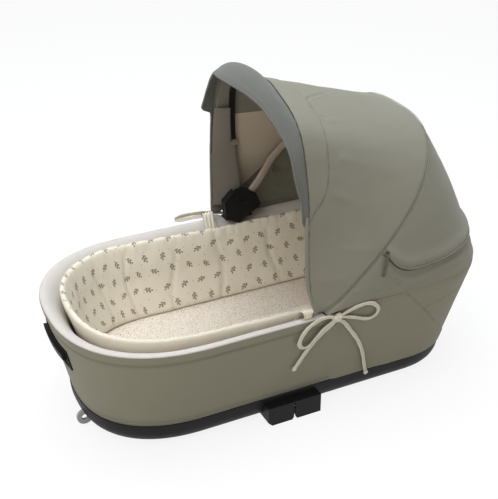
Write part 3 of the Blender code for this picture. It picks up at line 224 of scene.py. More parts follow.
def tubeShape(points, sides, radius, firstUp=(0, 0, 1)):
    # radius(turn, share) gives the half width and half depth
    up = Vector(firstUp)
    frames = []
    for index, point in enumerate(points):
        ahead = (points[min(index + 1, len(points) - 1)] - points[max(index - 1, 0)]).normalized()
        up = (up - ahead * up.dot(ahead)).normalized()
        frames.append((point, up, ahead.cross(up)))

    def place(u, v):
        point, up, side = frames[round(v * (len(points) - 1))]
        turn = math.tau * u
        wide, deep = radius(turn, v)
        return point + side * math.cos(turn) * wide + up * math.sin(turn) * deep

    shape = gridShape(sides, len(points) - 1, place, (tubeGirth, pathLength(points)), closed=True)
    fillEnds(shape)
    return shape


def roundedBlock(size, rounding, matrix):
    shape = bmesh.new()
    bmesh.ops.create_cube(shape, size=1.0)
    bmesh.ops.bevel(shape, geom=shape.edges[:] + shape.verts[:], offset=rounding, offset_type="OFFSET",
                    segments=3, profile=0.5, affect="EDGES", material=-1)
    bmesh.ops.transform(shape, matrix=matrix @ Matrix.Diagonal((*size, 1)), verts=shape.verts)
    return shape


def makePiece(name, shape, material):
    mesh = bpy.data.meshes.new(name)
    shape.to_mesh(mesh)
    shape.free()
    mesh.shade_smooth()
    mesh.materials.append(material)
    piece = bpy.data.objects.new(name, mesh)
    bpy.context.scene.collection.objects.link(piece)
    return piece


def finishPiece(name, shape, material, carrier="tub", node=None, marks=None,
                thickness=0.0, offset=-1.0):
    # carrier is a body's name, or the function that blends the cloth between two bodies
    piece = makePiece(name, shape, material)
    for label, values in (marks or {}).items():
        piece.data.attributes.new(label, "FLOAT", "POINT").data.foreach_set("value", values)
    if thickness:
        modifier = piece.modifiers.new("cloth", "SOLIDIFY")
        modifier.thickness = thickness
        modifier.offset = offset
        modifier.use_even_offset = False
    if callable(carrier):
        carrier(piece)
    else:
        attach(piece, carrier)
    if node:
        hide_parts(node)
    return piece


# Ribbon ties: each strand's points are steps from its knot
ribbonValues = {
    "width": 0.0039, "depth": 0.0013, "diameter": 0.005, "spacing": 0.003, "sides": 20,
    "knot": (0.0355, 0.2254, 0.2272), "knotSize": (0.01, 0.0056, 0.0084), "tipSize": (0.0042, 0.0036, 0.0046),
    "loopHigh": [
        (0.0072, -0.0016, 0.0028), (0.01, -0.0021, 0.0046), (0.0165, -0.0026, 0.008),
        (0.0246, -0.0035, 0.0113), (0.0355, -0.0042, 0.0145), (0.0472, -0.0045, 0.0161),
        (0.059, -0.0043, 0.0156), (0.0705, -0.0034, 0.0113), (0.081, -0.0009, 0.0013),
        (0.0857, 0.0014, -0.0077), (0.0845, 0.0032, -0.0167), (0.0775, 0.0042, -0.0227),
        (0.0665, 0.0045, -0.0237), (0.0524, 0.0036, -0.0187), (0.0385, 0.0022, -0.0122),
        (0.025, 0.0006, -0.0062), (0.0107, -0.0006, -0.002), (0.0074, -0.0004, -0.0013),
    ],
    "loopLow": [
        (-0.0068, -0.0013, 0.0028), (-0.0097, -0.0018, 0.004), (-0.0205, -0.0021, 0.0073),
        (-0.0316, -0.0018, 0.0073), (-0.044, -0.0008, 0.0028), (-0.056, 0.0014, -0.0057),
        (-0.064, 0.0042, -0.0172), (-0.0685, 0.0076, -0.0307), (-0.069, 0.0109, -0.0432),
        (-0.0633, 0.0136, -0.0532), (-0.0535, 0.0144, -0.0564), (-0.0445, 0.0131, -0.0512),
        (-0.0373, 0.0099, -0.0392), (-0.028, 0.0064, -0.0252), (-0.019, 0.0032, -0.0142),
        (-0.0093, 0.0008, -0.006), (-0.0066, 0.0004, -0.004),
    ],
    "tailLow": [
        (-0.0004, 0.001, -0.006), (-0.0115, 0.0048, -0.0177), (-0.0225, 0.0082, -0.0287),
        (-0.033, 0.0116, -0.0407), (-0.0435, 0.016, -0.0572), (-0.052, 0.0202, -0.0727),
        (-0.059, 0.0244, -0.0887), (-0.0645, 0.0279, -0.1017), (-0.068, 0.03, -0.1085),
    ],
    "tailHigh": [
        (0.003, 0.001, -0.0056), (0.0155, 0.0042, -0.0162), (0.0258, 0.0079, -0.0292),
        (0.0372, 0.0119, -0.0457), (0.0488, 0.0163, -0.0622), (0.06, 0.0211, -0.08), (0.07, 0.026, -0.0992),
        (0.0785, 0.031, -0.12), (0.085, 0.0358, -0.141), (0.0905, 0.0398, -0.159), (0.0962, 0.0432, -0.1755),
    ],
    "farLoop": [
        (-0.0068, -0.0013, 0.0028), (-0.0097, -0.0018, 0.004), (-0.0175, -0.0022, 0.0068),
        (-0.0243, -0.0026, 0.0088), (-0.0345, -0.0031, 0.011), (-0.0475, -0.0036, 0.013),
        (-0.0635, -0.004, 0.015), (-0.0805, -0.0042, 0.0162), (-0.0965, -0.004, 0.0168),
        (-0.1105, -0.0036, 0.016), (-0.119, -0.0026, 0.0142), (-0.1194, -0.0008, 0.0122),
        (-0.1115, 0.0004, 0.0108), (-0.0965, 0.0006, 0.0104), (-0.0805, 0.0006, 0.0102),
        (-0.0635, 0.0006, 0.0092), (-0.0475, 0.0006, 0.007), (-0.0355, 0.0005, 0.004),
        (-0.0235, 0.0004, 0.0004), (-0.0093, 0.0004, -0.0046), (-0.007, 0.0002, -0.0036),
    ],
}
ribbonStrands = (
    ("loop_a", "loopHigh", "loopHigh"), ("loop_b", "loopLow", "farLoop"),
    ("tail_a", "tailHigh", "tailHigh"), ("tail_b", "tailLow", "tailLow"),
)


def tieKnot(name, place, size, material, lumps=3, node=None):
    shape = bmesh.new()
    bmesh.ops.create_uvsphere(shape, u_segments=28, v_segments=18, radius=1.0)
    for vert in shape.verts:
        turn = math.atan2(vert.co.x, vert.co.z)
        fold = 1 + 0.1 * math.sin(lumps * turn + 2.0 * vert.co.y) + 0.05 * noise.noise(vert.co * 2.2)
        vert.co = Vector([value * half for value, half in zip(vert.co, size)]) * fold
    bmesh.ops.translate(shape, vec=place, verts=shape.verts)
    return finishPiece(name, shape, material, node=node)


def tieStrand(name, side, steps, values, material):
    tail = "_tail_" in name
    knot = Vector(values["knot"])
    points = [(knot.x + x, side * (knot.y - y), knot.z + z) for x, y, z in map(Vector, steps)]
    path = smoothPath(points, values["spacing"])
    path = evenPath(path, int(pathLength(path) / values["spacing"]) + 1)

    def size(turn, share):
        # the tape narrows where the knot grips it, and its middle is pressed into a fold
        gripped = 1 - 0.35 * bell(share, 0.05) - (0 if tail else 0.35 * bell(1 - share, 0.05))
        fold = 1 - 0.3 * bell(math.sin(turn) - 1, 0.2) + 0.12 * math.sin(3 * turn + 23 * share)
        uneven = 1 + 0.07 * math.sin(37 * share + 5 * side) + 0.05 * math.sin(91 * share)
        return values["width"] * uneven * gripped, values["depth"] * fold

    shape = tubeShape(path, values["sides"], size, (0, -side, 0))
    across = gridLayers(shape)[0]
    # painted shade down the middle of both faces of the tape, where it is pressed into a fold
    paintedSeamShade = [bell(abs(vert[across] % 0.5 - 0.25), 0.05) * 0.7 for vert in shape.verts]
    piece = finishPiece(name + "_tape", shape, material, node=name, marks={"seam": paintedSeamShade})
    withPieces = []
    if tail:
        end = path[-1] - (path[-1] - path[-3]).normalized() * 0.001
        withPieces = [tieKnot(name + "_tape_tip", end, values["tipSize"], material, lumps=2)]
    pathLength(path)


def buildRibbons(material, values):
    x, y, z = values["knot"]
    for side, word in bothSides:
        tie = "ribbon_%s_" % word
        tieKnot(tie + "knot_wrap", (x, side * y, z), values["knotSize"], material, node=tie + "knot")
        for strand, nearKey, farKey in ribbonStrands:
            tieStrand(tie + strand, side, values[nearKey if side < 0 else farKey], values, material)


# Outline of the tub, as in the part
tubValues = {
    "length": 0.842, "width": 0.44, "rim": 0.231, "low": 0.0524,
    "sideInset": 0.0477, "footInset": 0.0377, "headInset": 0.0441,
    "footDepth": 0.232, "headDepth": 0.19, "footPower": 2.4, "headPower": 2.3,
    "clearance": 0.0003, "steps": 400,
}
insetKeys = ("sideInset", "footInset", "headInset")
tubMiddle = (0.0, 0.0, 0.14)


def quarterOval(reachA, reachB, powerA, powerB, steps=120):
    angles = [math.pi / 2 * step / steps for step in range(steps + 1)]
    return [(reachA * abs(math.sin(angle)) ** (2 / powerA), reachB * abs(math.cos(angle)) ** (2 / powerB))
            for angle in angles]


def planPlace(shares, insets=(0, 0, 0)):
    values = tubValues
    headJoin = values["length"] / 2 - values["headDepth"]
    footJoin = values["footDepth"] - values["length"] / 2
    middle = headJoin + (footJoin - headJoin) * shares[2]
    x = middle + shares[0] * (values["headDepth"] - insets[2]) - shares[1] * (values["footDepth"] - insets[1])
    return Vector((x, shares[3] * (values["width"] / 2 - insets[0])))


def outlineShares(values):
    headPower, footPower = values["headPower"], values["footPower"]
    half = [Vector((b, 0, 0, a)) for a, b in quarterOval(1, 1, headPower, headPower)]
    half += [Vector((0, b, 1, a)) for a, b in reversed(quarterOval(1, 1, footPower, footPower))]
    ruler = [planPlace(shares) for shares in half]
    return evenPath(half, values["steps"] + 1, ruler), pathLength(ruler)


halfOutline, halfLength = outlineShares(tubValues)
girth = 2 * halfLength


def outlinePlace(turn, height, insets):
    # turn 0 is the head tip, 0.5 the foot tip, and the far side comes first
    near = turn > 0.5
    place = planPlace(alongPath(halfOutline, 2 * (1 - turn) if near else 2 * turn), insets)
    return Vector((place.x, -place.y if near else place.y, height))


def wallPlace(turn, height, depth):
    share = (tubValues["rim"] - height) / (tubValues["rim"] - tubValues["low"])
    return outlinePlace(turn, height, [tubValues[key] * share + depth for key in insetKeys])


def flatPlace(turn, height, inset):
    return outlinePlace(turn, height, (inset,) * 3)


def trayPlace(turn, height, extra):
    return outlinePlace(turn, height, [tubValues[key] + extra for key in insetKeys])


def turnAtX(x):
    # turn from the head tip at which the rim reaches x
    reached = (index for index, shares in enumerate(halfOutline) if planPlace(shares).x <= x)
    return next(reached) / tubValues["steps"] / 2


def ringOf(section, stepsU, stepsV, place=wallPlace, closed=True, lift=None):
    # a section of heights and depths, carried round the tub
    line = evenPath(smoothPath([(height, depth, 0) for height, depth in section], 0.001, closed), stepsV + 1)

    def spot(u, v):
        point = alongPath(line, v)
        return place(u, point.x, point.y)

    shape = gridShape(stepsU, stepsV, spot, (girth, pathLength(line)), closed=True)
    if closed:
        bmesh.ops.recalc_face_normals(shape, faces=shape.faces)
    else:
        faceAway(shape, tubMiddle)
    if lift:
        pushOut(shape, lift)
    return shape


# Canopy cloth: rows between the front edge, the mid seam and the base on the rim
canopyValues = {
    "base": 0.2405, "centre": (0.1, 0.0, 0.3005), "points": 301,
    "seamBaseX": 0.011, "seamHalfWidth": 0.228, "seamHeight": 0.382, "sidePower": 3.0, "topPower": 2.5,
    "crownTilt": 44.7, "sideTilt": 50.5, "rearStartX": 0.03, "flareHeight": 0.06,
    "frontBulge": 0.004, "frontPinch": 0.014, "rearBulge": 0.008,
    "frontEdge": [
        (-0.005, 0.2197, 0.2405), (-0.0085, 0.212, 0.262), (-0.0105, 0.205, 0.29), (-0.012, 0.201, 0.33),
        (-0.0125, 0.2, 0.36), (-0.0125, 0.199, 0.388), (-0.0122, 0.1978, 0.42), (-0.012, 0.1956, 0.445),
        (-0.012, 0.1915, 0.467), (-0.012, 0.187, 0.485), (-0.012, 0.1815, 0.505), (-0.012, 0.1755, 0.525),
        (-0.0115, 0.166, 0.543), (-0.0105, 0.153, 0.558), (-0.0075, 0.133, 0.569), (-0.0025, 0.105, 0.5765),
        (0.0015, 0.075, 0.5825), (0.005, 0.045, 0.588), (0.0085, 0.02, 0.5915), (0.01, 0.0, 0.5925),
    ],
    "visorEdge": [
        (-0.0195, 0.193, 0.39), (-0.0215, 0.1925, 0.42), (-0.0243, 0.1915, 0.4459), (-0.03, 0.189, 0.47),
        (-0.0335, 0.1835, 0.4925), (-0.0338, 0.175, 0.514), (-0.035, 0.164, 0.5303), (-0.0373, 0.15, 0.5454),
        (-0.0425, 0.129, 0.5641), (-0.0485, 0.106, 0.5798), (-0.0531, 0.09, 0.589), (-0.0631, 0.063, 0.5999),
        (-0.077, 0.03, 0.609), (-0.083, 0.0, 0.612),
    ],
}
canopyMiddle = Vector(canopyValues["centre"])


def mirroredRoute(route, spacing=0.004):
    # the near half runs up to the route's last point, and the far half back down
    near = [(x, -y, z) for x, y, z in route]
    return smoothPath(near + route[-2::-1], spacing)


def seamRoute(values):
    flare = tubValues["width"] / 2 - tubValues["clearance"] - values["seamHalfWidth"]
    route = []
    half = quarterOval(values["seamHalfWidth"], values["seamHeight"], values["sidePower"], values["topPower"])
    for across, up in half:
        wide = across + flare * max(0.0, 1.0 - up / values["flareHeight"]) ** 2
        share = (wide / values["seamHalfWidth"]) ** 2
        tilt = math.radians(values["crownTilt"] + (values["sideTilt"] - values["crownTilt"]) * share)
        route.append((values["seamBaseX"] + up * math.sin(tilt), wide, values["base"] + up * math.cos(tilt)))
    return [Vector((x, -y, z)) for x, y, z in reversed(route)] + [Vector(point) for point in route[1:]]


def headRoute(height, depth, startX, count):
    reach = turnAtX(startX)
    turns = [reach * (2 * step / (count - 1) - 1) for step in range(count)]
    return [wallPlace(turn % 1.0, height, depth) for turn in turns]


frontRoute = evenPath(mirroredRoute(canopyValues["frontEdge"]), canopyValues["points"])
seamLine = evenPath(seamRoute(canopyValues), canopyValues["points"])
baseLine = headRoute(canopyValues["base"], tubValues["clearance"], canopyValues["rearStartX"],
                     canopyValues["points"])


def clothPlace(first, second, u, v, bulge, pinch=0.0):
    place = alongPath(first, u).lerp(alongPath(second, u), v)
    outward = (place - canopyMiddle).normalized()
    shoulder = 2 * abs(outward.y * outward.z) / (outward.y ** 2 + outward.z ** 2)
    return place + outward * (bulge - pinch * shoulder) * 4 * v * (1 - v)


def frontPlace(u, v):
    return clothPlace(frontRoute, seamLine, u, v, canopyValues["frontBulge"], canopyValues["frontPinch"])


def rearPlace(u, v):
    return clothPlace(seamLine, baseLine, u, v, canopyValues["rearBulge"])


# Both halves of the cloth turn about the hubs: the fold's mid plane leans back at 45 degrees
foldValues = {"hub": (0.0456, 0.0, 0.2695), "reach": 0.24, "rearStart": 0.016}
foldHub = Vector(foldValues["hub"])
foldWay = Vector((math.sqrt(0.5), 0.0, -math.sqrt(0.5)))


def followFront(piece):
    end = foldHub - foldWay * foldValues["reach"]
    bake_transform(piece, "mid_bow_body", "front_bow_body", start=foldHub, end=end)


def followRear(piece):
    start, end = (foldHub + foldWay * foldValues[key] for key in ("rearStart", "reach"))
    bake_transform(piece, "mid_bow_body", "tub", start=start, end=end)


print("outline and canopy surfaces ready")

# Finishes


def put(tree, kind, sockets=None, **settings):
    node = tree.nodes.new("ShaderNode" + kind)
    for key, value in settings.items():
        setattr(node, key, value)
    for key, value in (sockets or {}).items():
        if isinstance(value, bpy.types.NodeSocket):
            tree.links.new(value, node.inputs[key])
        else:
            node.inputs[key].default_value = value
    return node


def maths(tree, operation, a, b=0.0, c=0.0, clamp=False):
    return put(tree, "Math", {0: a, 1: b, 2: c}, operation=operation, use_clamp=clamp).outputs[0]


def vectors(tree, operation, a, b=(0, 0, 0), c=(0, 0, 0)):
    return put(tree, "VectorMath", {0: a, 1: b, 2: c}, operation=operation).outputs


def ranged(tree, value, start, end, low=0.0, high=1.0):
    return put(tree, "MapRange", {0: value, 1: start, 2: end, 3: low, 4: high}).outputs[0]


def cloudy(tree, vector, scale, detail):
    return put(tree, "TexNoise", {"Vector": vector, "Scale": scale, "Detail": detail}).outputs["Fac"]


def marked(tree, name):
    return put(tree, "Attribute", attribute_name=name).outputs["Fac"]


def startGroup(name, inputs, outputs):
    # an input without a default is a vector
    group = bpy.data.node_groups.new(name, "ShaderNodeTree")
    for label, default in inputs.items():
        kind = "NodeSocketVector" if default is None else "NodeSocketFloat"
        socket = group.interface.new_socket(name=label, in_out="INPUT", socket_type=kind)
        if default is not None:
            socket.default_value = default
    for label in outputs:
        group.interface.new_socket(name=label, in_out="OUTPUT", socket_type="NodeSocketFloat")
    return group, group.nodes.new("NodeGroupInput").outputs, group.nodes.new("NodeGroupOutput").inputs


def makeWeaveGroup():
    group, given, out = startGroup(
        "plainWeave", {"Vector": None, "Thread": 0.0007, "Mottle": 0.05}, ["Height", "Shade"])
    parts = put(group, "SeparateXYZ", {0: given["Vector"]}).outputs
    turns = maths(group, "DIVIDE", math.pi, given["Thread"])
    warp, weft = (maths(group, "SINE", maths(group, "MULTIPLY", part, turns)) for part in parts[:2])
    slub = cloudy(group, given["Vector"], 420.0, 2.0)
    crossing = maths(group, "MULTIPLY_ADD", maths(group, "MULTIPLY", warp, weft), 0.35, slub)
    group.links.new(crossing, out["Height"])
    broad = cloudy(group, given["Vector"], 24.0, 3.0)
    wide = maths(group, "MULTIPLY", maths(group, "SUBTRACT", broad, 0.5), given["Mottle"])
    finer = maths(group, "MULTIPLY", given["Mottle"], 1.4)
    fine = maths(group, "MULTIPLY", maths(group, "SUBTRACT", slub, 0.5), finer)
    group.links.new(maths(group, "ADD", maths(group, "ADD", wide, fine), 1.0), out["Shade"])
    return group


def makeGrainGroup():
    group, given, out = startGroup(
        "mouldedGrain", {"Vector": None, "Grain": 900.0, "Roughness": 0.5}, ["Height", "Roughness", "Shade"])
    group.links.new(cloudy(group, given["Vector"], given["Grain"], 2.0), out["Height"])
    rub = cloudy(group, given["Vector"], 35.0, 5.0)
    shift = maths(group, "MULTIPLY_ADD", rub, 0.24, -0.12)
    group.links.new(maths(group, "ADD", given["Roughness"], shift, clamp=True), out["Roughness"])
    group.links.new(maths(group, "MULTIPLY_ADD", rub, 0.5, 0.75), out["Shade"])
    return group


# Sprigs: each leaf has its place in a cell, its turn in degrees and its half sizes
sprigValues = {
    "cell": 0.033, "stretch": 1.12, "rowShift": 0.5, "wander": 0.22, "turn": 2.5, "turnStart": -1.45,
    "dotCell": 0.71, "dotShift": 0.37, "dotWander": 0.5,
    "leaves": [
        (0.0, 0.0, 0, 0.022, 0.25), (0.075, 0.13, -42, 0.052, 0.1), (-0.075, 0.075, 44, 0.052, 0.1),
        (0.078, -0.03, -46, 0.05, 0.095), (-0.07, -0.09, 40, 0.048, 0.088), (0.0, 0.25, 0, 0.048, 0.075),
    ],
}


def makeSprigGroup(values):
    group, given, out = startGroup("sprigPrint", {"Vector": None}, ["Mask", "Dots"])

    def cells(pitch, rowShift, wander):
        # a place inside each cell, moved by chance, and the cell's chance number
        parts = put(group, "SeparateXYZ", {0: given["Vector"]}).outputs
        row = maths(group, "DIVIDE", parts[1], pitch)
        rowIndex = maths(group, "FLOOR", row)
        shift = maths(group, "MULTIPLY", maths(group, "FLOORED_MODULO", rowIndex, 2.0), rowShift)
        column = maths(group, "ADD", maths(group, "DIVIDE", parts[0], pitch * values["stretch"]), shift)
        inside = put(group, "CombineXYZ", {
            0: maths(group, "SUBTRACT", maths(group, "FRACT", column), 0.5),
            1: maths(group, "SUBTRACT", maths(group, "FRACT", row), 0.5),
        }).outputs[0]
        index = put(group, "CombineXYZ", {0: maths(group, "FLOOR", column), 1: rowIndex}).outputs[0]
        chance = put(group, "TexWhiteNoise", {"Vector": index}, noise_dimensions="2D").outputs
        away = vectors(group, "SUBTRACT", chance["Color"], (0.5, 0.5, 0.5))[0]
        return vectors(group, "MULTIPLY_ADD", away, (wander, wander, 0.0), inside)[0], chance["Value"]

    moved, chance = cells(values["cell"], values["rowShift"], values["wander"])
    angle = maths(group, "MULTIPLY_ADD", chance, values["turn"], values["turnStart"])
    turned = put(group, "VectorRotate", {"Vector": moved, "Angle": angle}, rotation_type="Z_AXIS").outputs[0]
    masks = []
    for x, y, degrees, wide, tall in values["leaves"]:
        leaf = put(group, "Mapping", {
            "Vector": turned, "Location": (x, y, 0.0), "Rotation": (0.0, 0.0, math.radians(degrees)),
            "Scale": (wide, tall, 1.0),
        }, vector_type="TEXTURE").outputs[0]
        masks.append(ranged(group, vectors(group, "LENGTH", leaf)["Value"], 1.15, 0.75))
    whole = masks[0]
    for mask in masks[1:]:
        whole = maths(group, "MAXIMUM", whole, mask)
    group.links.new(whole, out["Mask"])
    spot = cells(values["cell"] * values["dotCell"], values["dotShift"], values["dotWander"])[0]
    group.links.new(ranged(group, vectors(group, "LENGTH", spot)["Value"], 0.055, 0.03), out["Dots"])
    return group


weaveGroup = makeWeaveGroup()
grainGroup = makeGrainGroup()
sprigGroup = makeSprigGroup(sprigValues)


def startMaterial(name, colour, roughness, metallic=0.0, sheen=0.0, shine=0.5):
    material = bpy.data.materials.new(name)
    material.use_nodes = True
    shader = material.node_tree.nodes["Principled BSDF"]
    for label, value in (("Base Color", (*colour, 1.0)), ("Roughness", roughness), ("Metallic", metallic),
                         ("Specular IOR Level", shine), ("Sheen Weight", sheen), ("Sheen Roughness", 0.5)):
        shader.inputs[label].default_value = value
    return material, material.node_tree


def coordinates(tree, kind):
    return put(tree, "TexCoord").outputs[kind]


def woven(tree, vector, thread, mottle):
    sockets = {"Vector": vector, "Thread": thread, "Mottle": mottle}
    return put(tree, "Group", sockets, node_tree=weaveGroup).outputs


def opaque(colour):
    return colour if isinstance(colour, bpy.types.NodeSocket) else (*colour, 1.0)


def mixed(tree, factor, a, b, way="MIX"):
    sockets = {0: factor, 6: opaque(a), 7: opaque(b)}
    return put(tree, "Mix", sockets, data_type="RGBA", blend_type=way).outputs[2]


def tinted(tree, colour, shade, amount=1.0):
    grey = put(tree, "CombineColor", {0: shade, 1: shade, 2: shade}).outputs[0]
    return mixed(tree, amount, colour, grey, "MULTIPLY")


# painted shade: the colour darkens where the seam attribute is high, as shade falls into seams, folds and
# pleats
def paintSeamShade(tree, shade, depth):
    return maths(tree, "MULTIPLY", shade, maths(tree, "MULTIPLY_ADD", marked(tree, "seam"), -depth, 1.0))


def finishMaterial(material, colour, height, strength, distance=0.0004):
    tree = material.node_tree
    shader = tree.nodes["Principled BSDF"]
    bump = put(tree, "Bump", {"Height": height, "Strength": strength, "Distance": distance})
    tree.links.new(colour, shader.inputs["Base Color"])
    tree.links.new(bump.outputs[0], shader.inputs["Normal"])
    return material


# seam is how far the painted seam shade darkens this cloth
def clothMaterial(name, colour, thread=0.0007, mottle=0.08, seam=0.45):
    material, tree = startMaterial(name, colour, 0.85, sheen=0.15)
    weave = woven(tree, coordinates(tree, "UV"), thread, mottle)
    shade = paintSeamShade(tree, weave["Shade"], seam) if seam else weave["Shade"]
    return finishMaterial(material, tinted(tree, colour, shade), weave["Height"], 0.5)


def facedMaterial(name, colour, facing):
    # lining cloth, coloured sage where the attribute is over zero, with a hem line between
    material, tree = startMaterial(name, colour, 0.88, sheen=0.12)
    weave = woven(tree, coordinates(tree, "UV"), 0.0006, 0.05)
    reach = marked(tree, "facing")
    plain = mixed(tree, ranged(tree, reach, -0.0004, 0.0004), colour, facing)
    hemLine = ranged(tree, maths(tree, "ABSOLUTE", reach), 0.0004, 0.0014, 0.55, 1.0)
    shade = maths(tree, "MULTIPLY", weave["Shade"], hemLine)
    return finishMaterial(material, tinted(tree, plain, shade), weave["Height"], 0.4)


def plasticMaterial(name, colour, roughness, grain=900.0, metallic=0.0, bump=0.25, shine=0.5):
    material, tree = startMaterial(name, colour, roughness, metallic, shine=shine)
    sockets = {"Vector": coordinates(tree, "Object"), "Grain": grain, "Roughness": roughness}
    moulded = put(tree, "Group", sockets, node_tree=grainGroup).outputs
    tree.links.new(moulded["Roughness"], tree.nodes["Principled BSDF"].inputs["Roughness"])
    rubbed = tinted(tree, colour, moulded["Shade"], 0.35)
    return finishMaterial(material, rubbed, moulded["Height"], bump, 0.0002)


def linerMaterial(name, colour, ink):
    material, tree = startMaterial(name, colour, 0.88, sheen=0.15)
    vector = coordinates(tree, "UV")
    weave = woven(tree, vector, 0.0005, 0.06)
    sprig = put(tree, "Group", {"Vector": vector}, node_tree=sprigGroup).outputs
    marks = maths(tree, "MAXIMUM", sprig["Mask"], maths(tree, "MULTIPLY", sprig["Dots"], 0.7))
    marks = maths(tree, "MULTIPLY", maths(tree, "MULTIPLY", marks, marked(tree, "printed")), 0.88)
    # the weave's shade is darkened by the painted seam shade in the pleats and along the sewn line
    cloth = tinted(tree, colour, paintSeamShade(tree, weave["Shade"], 0.35))
    return finishMaterial(material, mixed(tree, marks, cloth, ink), weave["Height"], 0.4)


def mattressMaterial(name, colour, fleck):
    material, tree = startMaterial(name, colour, 0.92, sheen=0.2)
    vector = coordinates(tree, "Object")
    cells = put(tree, "TexVoronoi", {"Vector": vector, "Scale": 270.0, "Randomness": 1.0}).outputs["Distance"]
    shade = maths(tree, "MULTIPLY_ADD", cloudy(tree, vector, 60.0, 4.0), 0.18, 0.91)
    flecked = mixed(tree, ranged(tree, cells, 0.38, 0.2, 0.0, 0.75), tinted(tree, colour, shade), fleck)
    return finishMaterial(material, flecked, cells, 0.5, 0.0008)


sageCloth = clothMaterial("sage_canvas", (0.204, 0.195, 0.145), seam=0.65)
# a bluer copy of the sage for the canopy and its parts, standing for the bluish light from above: painted
# light
sageCanopyPaintedSkylight = clothMaterial("sage_canvas_canopy_painted_skylight", (0.201, 0.194, 0.152), seam=0.65)
sageDark = clothMaterial("sage_canvas_visor", (0.112, 0.113, 0.103))
# a darker copy of the sage for the bow flaps: painted shade
sagePaintedShade = clothMaterial("sage_canvas_painted_shade", (0.17, 0.155, 0.13), seam=0.6)
paleCloth = clothMaterial("rim_jersey", (0.58, 0.54, 0.508), thread=0.0005, mottle=0.05)
beigeCloth = clothMaterial("canopy_lining_cloth", (0.43, 0.35, 0.29), thread=0.0006)
liningCloth = facedMaterial("canopy_lining_faced", (0.52, 0.45, 0.365), (0.185, 0.178, 0.145))
creamTape = clothMaterial("ribbon_tape", (0.62, 0.58, 0.49), thread=0.0005, seam=0.3)
creamCloth = clothMaterial("liner_cream", (0.74, 0.68, 0.57), thread=0.0005)
linerPrint = linerMaterial("liner_print", (0.78, 0.718, 0.598), (0.19, 0.15, 0.105))
mattressCloth = mattressMaterial("mattress_fleck", (0.74, 0.655, 0.565), (0.235, 0.19, 0.155))
blackPlastic = plasticMaterial("black_moulding", (0.008, 0.0078, 0.0085), 0.5, shine=0.2)
greyPlastic = plasticMaterial("grey_moulding", (0.33, 0.33, 0.35), 0.42)
blackRubber = plasticMaterial("pad_rubber", (0.012, 0.012, 0.012), 0.8, grain=500.0, shine=0.25)
brushedSteel = plasticMaterial("latch_steel", (0.6, 0.6, 0.6), 0.3, grain=1500.0, metallic=1.0, bump=0.1)
foamBoard = plasticMaterial("wall_board", (0.5, 0.5, 0.48), 0.9, grain=300.0)
zipTape = clothMaterial("zip_tape", (0.085, 0.085, 0.066), thread=0.0006, seam=0.0)
zipCoil = plasticMaterial("zip_coil", (0.06, 0.058, 0.046), 0.55, shine=0.3)
darkMetal = plasticMaterial("dark_metal", (0.055, 0.055, 0.05), 0.38, grain=1500.0, metallic=0.8, bump=0.1)
stitchThread = clothMaterial("stitching", (0.15, 0.145, 0.11), thread=0.0003, seam=0.0)

finishes = {
    "black_plastic": blackPlastic, "grey_plastic": greyPlastic, "black_rubber": blackRubber,
    "steel": brushedSteel, "foam_board": foamBoard, "sage_cloth": sageCloth, "pale_cloth": paleCloth,
    "cream_cloth": creamCloth, "beige_cloth": beigeCloth,
}
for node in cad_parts.values():
    slotName = node.data.materials[0].name.split(".")[0]
    node.data.materials[0] = finishes.get(slotName, blackPlastic)
print("finishes ready")
buildRibbons(creamTape, ribbonValues)
print("ribbons tied")

# Seams and stitches
stitchValues = {"pitch": 0.0042, "length": 0.0028, "radius": 0.00042, "lift": 0.0001, "reach": 0.02}


def seamFinder(path):
    tree = KDTree(len(path))
    for index, point in enumerate(path):
        tree.insert(point, index)
    tree.balance()
    return tree


def gapTo(tree, place):
    return tree.find(place)[2]


def gapPast(tree, place):
    # over zero on the head side of the line
    nearest, _, gap = tree.find(place)
    return gap if place.x > nearest.x else -gap


# painted shade: darkening that falls off with the distance to the nearest seam line
def seamShadeValues(shape, trees, width):
    return [max(bell(gapTo(tree, vert.co), width) for tree in trees) for vert in shape.verts]


def surfaceOf(piece):
    graph = bpy.context.evaluated_depsgraph_get()
    bpy.context.view_layer.update()
    return BVHTree.FromObject(piece, graph)


def facingOut(spot, normal):
    return -normal if normal.dot(spot - canopyMiddle) < 0 else normal


def stitchRow(name, path, piece, material, values):
    surface = surfaceOf(piece)
    line = evenPath(path, max(2, int(pathLength(path) / values["pitch"])))
    whole = bmesh.new()
    whole.loops.layers.uv.new("surface")
    for a, b in zip(line, line[1:]):
        spot, normal, _, gap = surface.find_nearest(a.lerp(b, 0.5))
        if spot is None or gap > values["reach"]:
            continue
        normal = facingOut(spot, normal)
        ahead = (b - a).normalized()
        side = normal.cross(ahead).normalized()
        turn = Matrix((ahead, side, ahead.cross(side))).transposed().to_4x4()
        size = Matrix.Diagonal((values["length"] / 2, values["radius"], values["radius"], 1))
        matrix = Matrix.Translation(spot + normal * values["lift"]) @ turn @ size
        bmesh.ops.create_icosphere(whole, subdivisions=1, radius=1.0, matrix=matrix)
    finishPiece(name, whole, material)


# Cover, with a window for the release at the foot end
coverValues = {
    "depth": 0.0012, "top": 0.2092, "thickness": 0.0012, "puff": 0.0006, "roll": 0.0006, "seam": 0.0085,
    "around": 300, "rows": 18,
}
windowValues = {"halfWidth": 0.056, "low": 0.149, "high": 0.181, "reach": -0.36, "beside": 0.1}


